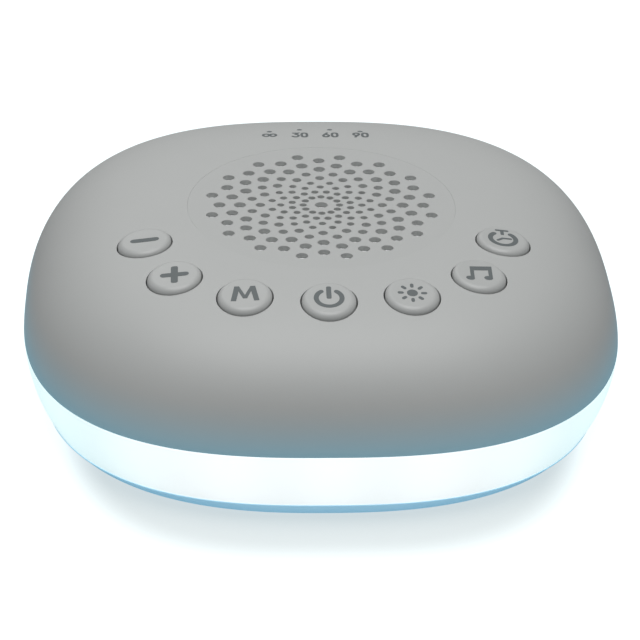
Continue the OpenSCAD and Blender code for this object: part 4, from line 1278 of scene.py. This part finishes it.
def pressed_fibre(name, code, fibre=0.5):
    """Paper pulp, pressed and dried: matt, with fibres lying every way."""
    # real fibres are finer than half a millimetre; these are drawn coarser so that they show
    return patterned(name, linear(code), (fibre, 0.25), VORONOI, fibre, (0.4, 0.05), (0.9, 0.9),
                     feature="DISTANCE_TO_EDGE")


def sintered_block(name, code):
    """Ferrite or cast plate: dark, slightly sparkling grain from pressed powder."""
    return patterned(name, linear(code), (0.6, 0.2), VORONOI, 0.3, (0.3, 0.04), (0.65, 0.65))


def wound_wire(name, code):
    """Enamelled copper wire in level turns, each turn catching its own light."""
    # the wave pattern turns by 20 radians over its size, so that a band is about six wires
    # high: coarser than real, so that it shows
    wire, radians = 0.2, 20
    return patterned(name, linear(code), (0.8, 0.1), "ShaderNodeTexWave", wire * radians,
                     (0.6, wire / 2), (0.3, 0.3), {"Distortion": 0.3}, "Fac", {"Metallic": 1.0},
                     bands_direction="Z")


def clear_moulding(name, code, rough=0.12):
    """Clear acrylic, moulded: glassy, with faint flow marks."""
    return patterned(name, linear(code), (2, 0.05), NOISE, 1.2, None, (rough * 0.6, rough * 1.5),
                     {"Detail": 1.0}, more={"IOR": 1.49, "Coat Weight": 0.3})


def grained_plastic(name, rgb, grain=0.32):
    """ABS moulded against a spark-eroded tool: fine even grain that softens the light."""
    # the grain is drawn coarser than a real tool leaves it, so that it shows
    material, tree, shader, place = new_material(name)
    coarse = add_node(tree, NOISE, {
        "Vector": place, "Scale": per_mm(grain), "Detail": 2.0, "Roughness": 0.6})
    fine = add_node(tree, VORONOI,
                    {"Vector": place, "Scale": per_mm(grain * 0.7)}, feature="SMOOTH_F1")
    both = add_node(tree, MATH, [fine, 0.6, coarse], operation="MULTIPLY_ADD")
    bump = add_node(tree, BUMP, {"Height": both, "Strength": 0.16, "Distance": 0.03 * MM})
    rough = add_node(tree, SPREAD, {"Value": coarse, "To Min": 0.46, "To Max": 0.6})
    fill(shader, {"Base Color": mottle(tree, place, rgb, 9, 0.012), "Normal": bump,
                  "Roughness": rough, "IOR": 1.53})
    return material


def paint_glow(material, rgb, low_z, high_z, at_low, at_high):
    """Paint a glow onto a wall between two heights: emission that fades from one strength to the other
    and stands in for the band's light falling on it.
    """
    tree = material.node_tree
    place = add_node(tree, "ShaderNodeTexCoord").outputs["Object"]
    split = add_node(tree, SPLIT, [place])
    painted_glow = add_node(tree, SPREAD, {
        "Value": split.outputs[2], "From Min": low_z, "From Max": high_z,
        "To Min": at_low, "To Max": at_high}, interpolation_type="SMOOTHSTEP")
    fill(tree.nodes["Principled BSDF"], {"Emission Strength": painted_glow, "Emission Color": (*rgb, 1)})


def glowing_diffuser(sizes, colours):
    """Opal polycarbonate lit from inside: even light, a shade fuller before each lamp."""
    material, tree, shader, place = new_material("opal_diffuser")
    known = dict(zip("xyz", add_node(tree, SPLIT, [place]).outputs))
    known["off"] = add_node(tree, SPREAD, {
        "Value": known["z"], "From Min": sizes.band_z, "From Max": seam_z(sizes) * MM,
        "To Min": -1.0, "To Max": 1.0})
    lamps = 20.0
    chain(tree, MATH, known, [
        ("turn", "ARCTAN2", "y", "x"), ("wave", "MULTIPLY", "turn", lamps),
        ("wave", "COSINE", "wave"), ("off", "POWER", "off", 4.0),
        ("power", "MULTIPLY_ADD", "off", -0.04, 0.7),
        ("power", "MULTIPLY_ADD", "wave", 0.02, "power"), ("side", "ABSOLUTE", "x")])
    share = add_node(tree, SPREAD, {
        "Value": known["side"], "From Min": 0.4 * sizes.body_w / 2,
        "From Max": 0.9 * sizes.body_w / 2}, interpolation_type="SMOOTHSTEP")
    tint = add_node(tree, "ShaderNodeMix", {
        0: share, 6: (*colours.glow, 1), 7: (*colours.glow_side, 1)}, data_type="RGBA")
    milky = add_node(tree, NOISE, {"Vector": place, "Scale": per_mm(0.8), "Detail": 2.0})
    rough = add_node(tree, SPREAD, {"Value": milky, "To Min": 0.26, "To Max": 0.36})
    bump = add_node(tree, BUMP, {"Height": milky, "Strength": 0.05, "Distance": 0.03 * MM})
    fill(shader, {"Emission Strength": known["power"], "Emission Color": tint.outputs[2],
                  "Roughness": rough, "Normal": bump, "Base Color": (0.8, 0.88, 0.9, 1),
                  "IOR": 1.58})
    return material


def plated_metal(name, code, rough):
    """Plated sheet metal: bright, with fine drawing lines that stretch the highlight."""
    material, tree, shader, place = new_material(name)
    stretch = add_node(tree, "ShaderNodeMapping", {"Vector": place, "Scale": (1.0, 0.08, 1.0)})
    lines = add_node(tree, NOISE, {"Vector": stretch, "Scale": per_mm(0.05), "Detail": 2.0})
    spread = add_node(tree, SPREAD, {"Value": lines, "To Min": rough * 0.7, "To Max": rough * 1.4})
    fill(shader, {"Base Color": mottle(tree, place, linear(code), 1.2, 0.05), "Metallic": 1.0,
                  "Roughness": spread})
    return material


def woven_cloth(name, code, thread):
    """Plain-woven cloth: crossing threads, drawn coarser than real so that they show."""
    material, tree, shader, place = new_material(name)
    split = add_node(tree, SPLIT, [place])
    known = chain(tree, MATH, dict(zip("xy", split.outputs)), [row for axis in "xy" for row in (
        (axis, "MULTIPLY", axis, 2 * math.pi * per_mm(thread)), (axis, "SINE", axis))]
        + [("weave", "MULTIPLY", "x", "y")])
    bump = add_node(tree, BUMP, {"Height": known["weave"], "Strength": 0.5, "Distance": 0.08 * MM})
    shade = add_node(tree, SPREAD, {
        "Value": known["weave"], "From Min": -1.0, "From Max": 1.0, "To Min": 0.8, "To Max": 1.15})
    tone = add_node(tree, "ShaderNodeVectorMath", {0: linear(code), "Scale": shade},
                    operation="SCALE")
    fill(shader, {"Base Color": tone, "Normal": bump, "Roughness": 0.85, "Sheen Weight": 0.2})
    return material


def solder_mask(name, code):
    """Glass-epoxy board under solder mask: green gloss with the copper tracks below it."""
    material, tree, shader, place = new_material(name)
    cells = add_node(tree, "ShaderNodeTexBrick", {
        "Vector": place, "Scale": per_mm(2.4), "Mortar Size": 0.035,
        "Color1": (*linear(code), 1), "Color2": (*linear("#2a6044"), 1),
        "Mortar": (*linear("#4f8f63"), 1)}, offset=0.37, squash=0.7)
    bump = add_node(tree, BUMP,
                    {"Height": cells.outputs["Fac"], "Strength": 0.3, "Distance": 0.04 * MM})
    fill(shader, {"Base Color": cells, "Normal": bump, "Roughness": 0.3})
    return material


def finish_inner_parts():
    """Give every node that stays as it is its material, by its slot in the record."""
    made = {
        "screw_steel": plated_metal("zinc_screws", "#a9adb0", 0.32),
        "clear_pipe": clear_moulding("light_pipe_acrylic", "#6d7374"),
        "circuit_board": solder_mask("board_epoxy", "#2f6b4a"),
        "switch_case": dark_moulding("switch_nylon", "#4a4d50"),
        "dark_plastic": dark_moulding("dark_nylon", "#2b2d2f"),
        "white_plastic": dark_moulding("white_nylon", "#ecedec", 0.45),
        "foam": pressed_fibre("closed_cell_foam", "#33363a", 0.35),
        "basket_steel": dark_moulding("painted_steel", "#6e7276", 0.38, 0.4),
        "surround_rubber": moulded_rubber("surround_rubber", linear("#232527")),
        "cone_paper": pressed_fibre("cone_paper", "#3b3e41"),
        "cap_paper": pressed_fibre("cap_paper", "#2c2e31", 0.4),
        "coil_wire": wound_wire("voice_coil_wire", "#b5713a"),
        "spider_cloth": woven_cloth("spider_cotton", "#c9a45c", 0.5),
        "plate_steel": plated_metal("zinc_plates", "#95999d", 0.35),
        "ferrite": sintered_block("ferrite", "#4a4c4f"),
        "led_lens": clear_moulding("lamp_resin", "#fbf8e2", 0.2),
        "strip_film": clear_moulding("strip_polyimide", "#e8e2c8", 0.3),
        "capacitor_can": plated_metal("capacitor_cans", "#8f979f", 0.3),
        "ribbon_grey": dark_moulding("ribbon_pvc", "#9aa0a5", 0.42),
        "lead_red": dark_moulding("red_pvc", "#b23a34", 0.4),
        "lead_black": dark_moulding("black_pvc", "#26282a", 0.4),
        "lead_white": dark_moulding("white_pvc", "#d9d9d2", 0.4),
        "tag_board": pressed_fibre("phenolic_tag", "#8a6a3c", 0.8),
    }
    replaced = {n for o in bpy.data.objects for n in o.get("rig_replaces", [])}
    for row in frame["record"]["subparts"]:
        node, slot = row["node"], row["material_slot"]
        if node in replaced or node == "dust_mesh":
            continue
        if slot not in made:
            raise RuntimeError(f"node {node} has no finish for its slot {slot}")
        piece = frame["nodes"][node]
        piece.data.materials.clear()
        piece.data.materials.append(made[slot])


# ---- stage ----


def paper_with_painted_shadow(rgb):
    """White background paper, seen brighter than it lights things, with a soft painted shadow round the
    machine.
    """
    material, tree, shader, place = new_material("paper_with_painted_shadow")
    seen = add_node(tree, "ShaderNodeLightPath").outputs["Is Camera Ray"]
    known = dict(zip("xy", add_node(tree, SPLIT, [place]).outputs))
    # half the painted shadow's size each way, and how far its middle is in front of the machine's: the
    # painted shadow comes out from under the front edge; half the patch's size each way, and how far
    # its middle is in front of the machine's: it comes out from under the front edge, where the
    # photo's floor is darker
    painted_shadow_forward, half_x, half_y = 0.007, 0.042, 0.05
    cubes = [row for axis, half in (("x", half_x), ("y", half_y)) for row in (
        (axis, "ABSOLUTE", axis), (axis, "MULTIPLY", axis, 1 / half), (axis, "POWER", axis, 3.0))]
    chain(tree, MATH, known, [("y", "ADD", "y", painted_shadow_forward)] + cubes + [
        ("away", "ADD", "x", "y")])
    # the emission that the camera sees is lower near the machine: that dip is the painted shadow, and
    # the emission colour's cyan tint makes it a little blue
    far = add_node(tree, SPREAD, {
        "Value": known["away"], "From Min": 0.85, "From Max": 1.42, "To Min": 0.65,
        "To Max": 1.0}, interpolation_type="SMOOTHSTEP")
    lift = add_node(tree, MATH, [seen, far], operation="MULTIPLY")
    fill(shader, {"Base Color": mottle(tree, place, rgb, 400, 0.002), "Roughness": 0.9,
                  "Specular IOR Level": 0.0, "Emission Color": (0.91, 0.99, 1, 1),
                  "Emission Strength": lift})
    shade = add_node(tree, "ShaderNodeBsdfDiffuse", {"Color": (0.3, 0.32, 0.33, 1)})
    both = add_node(tree, "ShaderNodeMixShader", [seen, shade, shader])
    fill(tree.nodes["Material Output"], {"Surface": both})
    return material


def set_stage(colours):
    """A white floor, soft studio light, and the camera at the photograph's view."""
    scene = bpy.context.scene
    scene.view_settings.view_transform = "Standard"
    mesh = bpy.data.meshes.new("floor")
    flat = circle((0, 0), 4.0, 96)
    mesh.from_pydata(lifted(flat, 0).tolist(), [], [tuple(range(96))])
    floor = bpy.data.objects.new("floor", mesh)
    scene.collection.objects.link(floor)
    mesh.materials.append(paper_with_painted_shadow(colours.floor))

    world = bpy.data.worlds.new("studio")
    scene.world = world
    world.use_nodes = True
    tree = world.node_tree
    rays = add_node(tree, "ShaderNodeLightPath").outputs
    seen = add_node(tree, MATH, [rays["Is Camera Ray"], rays["Is Transmission Ray"]],
                    operation="MAXIMUM")
    power = add_node(tree, SPREAD, {"Value": seen, "To Min": 0.28, "To Max": 1.0})
    fill(tree.nodes["Background"], {"Strength": power, "Color": (1, 1, 1, 1)})

    for name, place, size, watts in (("top_light", (0.0, -0.2, 1.5), 1.5, 21.4),
                                     ("back_light", (-0.2, 1.0, 0.9), 0.7, 1.5)):
        lamp = bpy.data.lights.new(name, "AREA")
        lamp.shape, lamp.size, lamp.energy = "DISK", size, watts
        lamp_object = bpy.data.objects.new(name, lamp)
        scene.collection.objects.link(lamp_object)
        lamp_object.location = place
        aim = Vector((0, 0, 0.02)) - Vector(place)
        lamp_object.rotation_euler = aim.to_track_quat("-Z", "Y").to_euler()
    set_camera()


# the photograph's view, fitted to the outline and the grille's holes
CAMERA_TURN = math.radians(2.68)
CAMERA_DROP = math.radians(28.86)
CAMERA_ROLL = math.radians(-1.02)
CAMERA_AWAY = 543.3
CAMERA_SHIFT = (-0.12, -8.86)
CAMERA_LENS = 168.75


def set_camera():
    """The camera at the photograph's distance, height and turn."""
    foot = low("base_tray", 2)
    cos_d, sin_d = math.cos(CAMERA_DROP), math.sin(CAMERA_DROP)
    away = CAMERA_AWAY + foot * sin_d
    left, down = CAMERA_SHIFT[0], CAMERA_SHIFT[1] - foot * cos_d
    turn = Matrix.Rotation(-CAMERA_TURN, 3, "Z")
    place = Vector((-left, -down * sin_d - away * cos_d, -down * cos_d + away * sin_d))
    cos_r, sin_r = math.cos(CAMERA_ROLL), math.sin(CAMERA_ROLL)
    right = Vector((cos_r, -sin_r * sin_d, -sin_r * cos_d))
    up = Vector((sin_r, cos_r * sin_d, cos_r * cos_d))
    ahead = Vector((0, cos_d, -sin_d))
    axes = Matrix((turn @ right, turn @ up, turn @ -ahead)).transposed()
    data = bpy.data.cameras.new("camera")
    data.lens, data.sensor_width = CAMERA_LENS, 36
    data.clip_start, data.clip_end = 0.05, 20
    camera = bpy.data.objects.new("camera", data)
    bpy.context.scene.collection.objects.link(camera)
    camera.matrix_world = Matrix.Translation(turn @ place * MM) @ axes.to_4x4()
    bpy.context.scene.camera = camera


# ---- add-on ----


class Step:
    """What every operator here shares."""

    bl_options = {"REGISTER", "UNDO"}


def settings(context):
    """The sizes and colours as they are set in the scene."""
    return context.scene.machine_sizes, context.scene.machine_colours


class SOUNDMACHINE_OT_stage(Step, bpy.types.Operator):
    """Set the floor, lights and camera"""

    bl_idname = "sound_machine.set_stage"
    bl_label = "Set Stage"

    def execute(self, context):
        set_stage(context.scene.machine_colours)
        return {"FINISHED"}


class SOUNDMACHINE_OT_housing(Step, bpy.types.Operator):
    """Make the domed top housing"""

    bl_idname = "sound_machine.make_housing"
    bl_label = "Make Housing"

    def execute(self, context):
        sizes, colours = settings(context)
        make_housing(sizes, colours)
        return {"FINISHED"}


class SOUNDMACHINE_OT_grille(Step, bpy.types.Operator):
    """Make the speaker grille and finish the dust mesh under it"""

    bl_idname = "sound_machine.make_grille"
    bl_label = "Make Grille"

    def execute(self, context):
        sizes, colours = settings(context)
        make_grille(sizes, colours)
        return {"FINISHED"}


class SOUNDMACHINE_OT_band(Step, bpy.types.Operator):
    """Make the glowing light band"""

    bl_idname = "sound_machine.make_band"
    bl_label = "Make Light Band"

    def execute(self, context):
        sizes, colours = settings(context)
        make_band(sizes, colours)
        return {"FINISHED"}


class SOUNDMACHINE_OT_base(Step, bpy.types.Operator):
    """Make the base tray and its feet"""

    bl_idname = "sound_machine.make_base"
    bl_label = "Make Base"

    def execute(self, context):
        sizes, colours = settings(context)
        make_base(sizes, colours)
        make_feet(colours)
        return {"FINISHED"}


class SOUNDMACHINE_OT_buttons(Step, bpy.types.Operator):
    """Make the seven button caps and print their symbols"""

    bl_idname = "sound_machine.make_buttons"
    bl_label = "Make Buttons"

    def execute(self, context):
        sizes, colours = settings(context)
        make_caps(sizes, colours)
        print_symbols(sizes, colours)
        return {"FINISHED"}


class SOUNDMACHINE_OT_marks(Step, bpy.types.Operator):
    """Print the timer marks"""

    bl_idname = "sound_machine.print_marks"
    bl_label = "Print Timer Marks"

    def execute(self, context):
        sizes, colours = settings(context)
        print_marks(sizes, colours)
        return {"FINISHED"}


class SOUNDMACHINE_OT_inlet(Step, bpy.types.Operator):
    """Make the power inlet"""

    bl_idname = "sound_machine.make_inlet"
    bl_label = "Make Inlet"

    def execute(self, context):
        make_inlet(context.scene.machine_sizes)
        return {"FINISHED"}


class SOUNDMACHINE_OT_inner_parts(Step, bpy.types.Operator):
    """Finish the parts inside the casing"""

    bl_idname = "sound_machine.finish_inner_parts"
    bl_label = "Finish Inner Parts"

    def execute(self, context):
        finish_inner_parts()
        return {"FINISHED"}


OPERATORS = (
    SOUNDMACHINE_OT_stage, SOUNDMACHINE_OT_housing, SOUNDMACHINE_OT_grille,
    SOUNDMACHINE_OT_band, SOUNDMACHINE_OT_base, SOUNDMACHINE_OT_buttons,
    SOUNDMACHINE_OT_marks, SOUNDMACHINE_OT_inlet, SOUNDMACHINE_OT_inner_parts,
)


class SOUNDMACHINE_PT_panel(bpy.types.Panel):
    """Lists the steps that build the sound machine"""

    bl_label = "Sound Machine"
    bl_idname = "SOUNDMACHINE_PT_panel"
    bl_space_type = "VIEW_3D"
    bl_region_type = "UI"
    bl_category = "Sound Machine"

    def draw(self, context):
        for operator in OPERATORS:
            self.layout.operator(operator.bl_idname)


CLASSES = (SoundMachineSizes, SoundMachineColours) + OPERATORS + (SOUNDMACHINE_PT_panel,)


def register():
    for cls in CLASSES:
        bpy.utils.register_class(cls)
    bpy.types.Scene.machine_sizes = PointerProperty(type=SoundMachineSizes)
    bpy.types.Scene.machine_colours = PointerProperty(type=SoundMachineColours)


def unregister():
    del bpy.types.Scene.machine_colours
    del bpy.types.Scene.machine_sizes
    for cls in reversed(CLASSES):
        bpy.utils.unregister_class(cls)


def main():
    """Build the whole machine."""
    register()
    for operator in OPERATORS:
        family, name = operator.bl_idname.split(".")
        getattr(getattr(bpy.ops, family), name)()


if __name__ == "__main__":
    main()
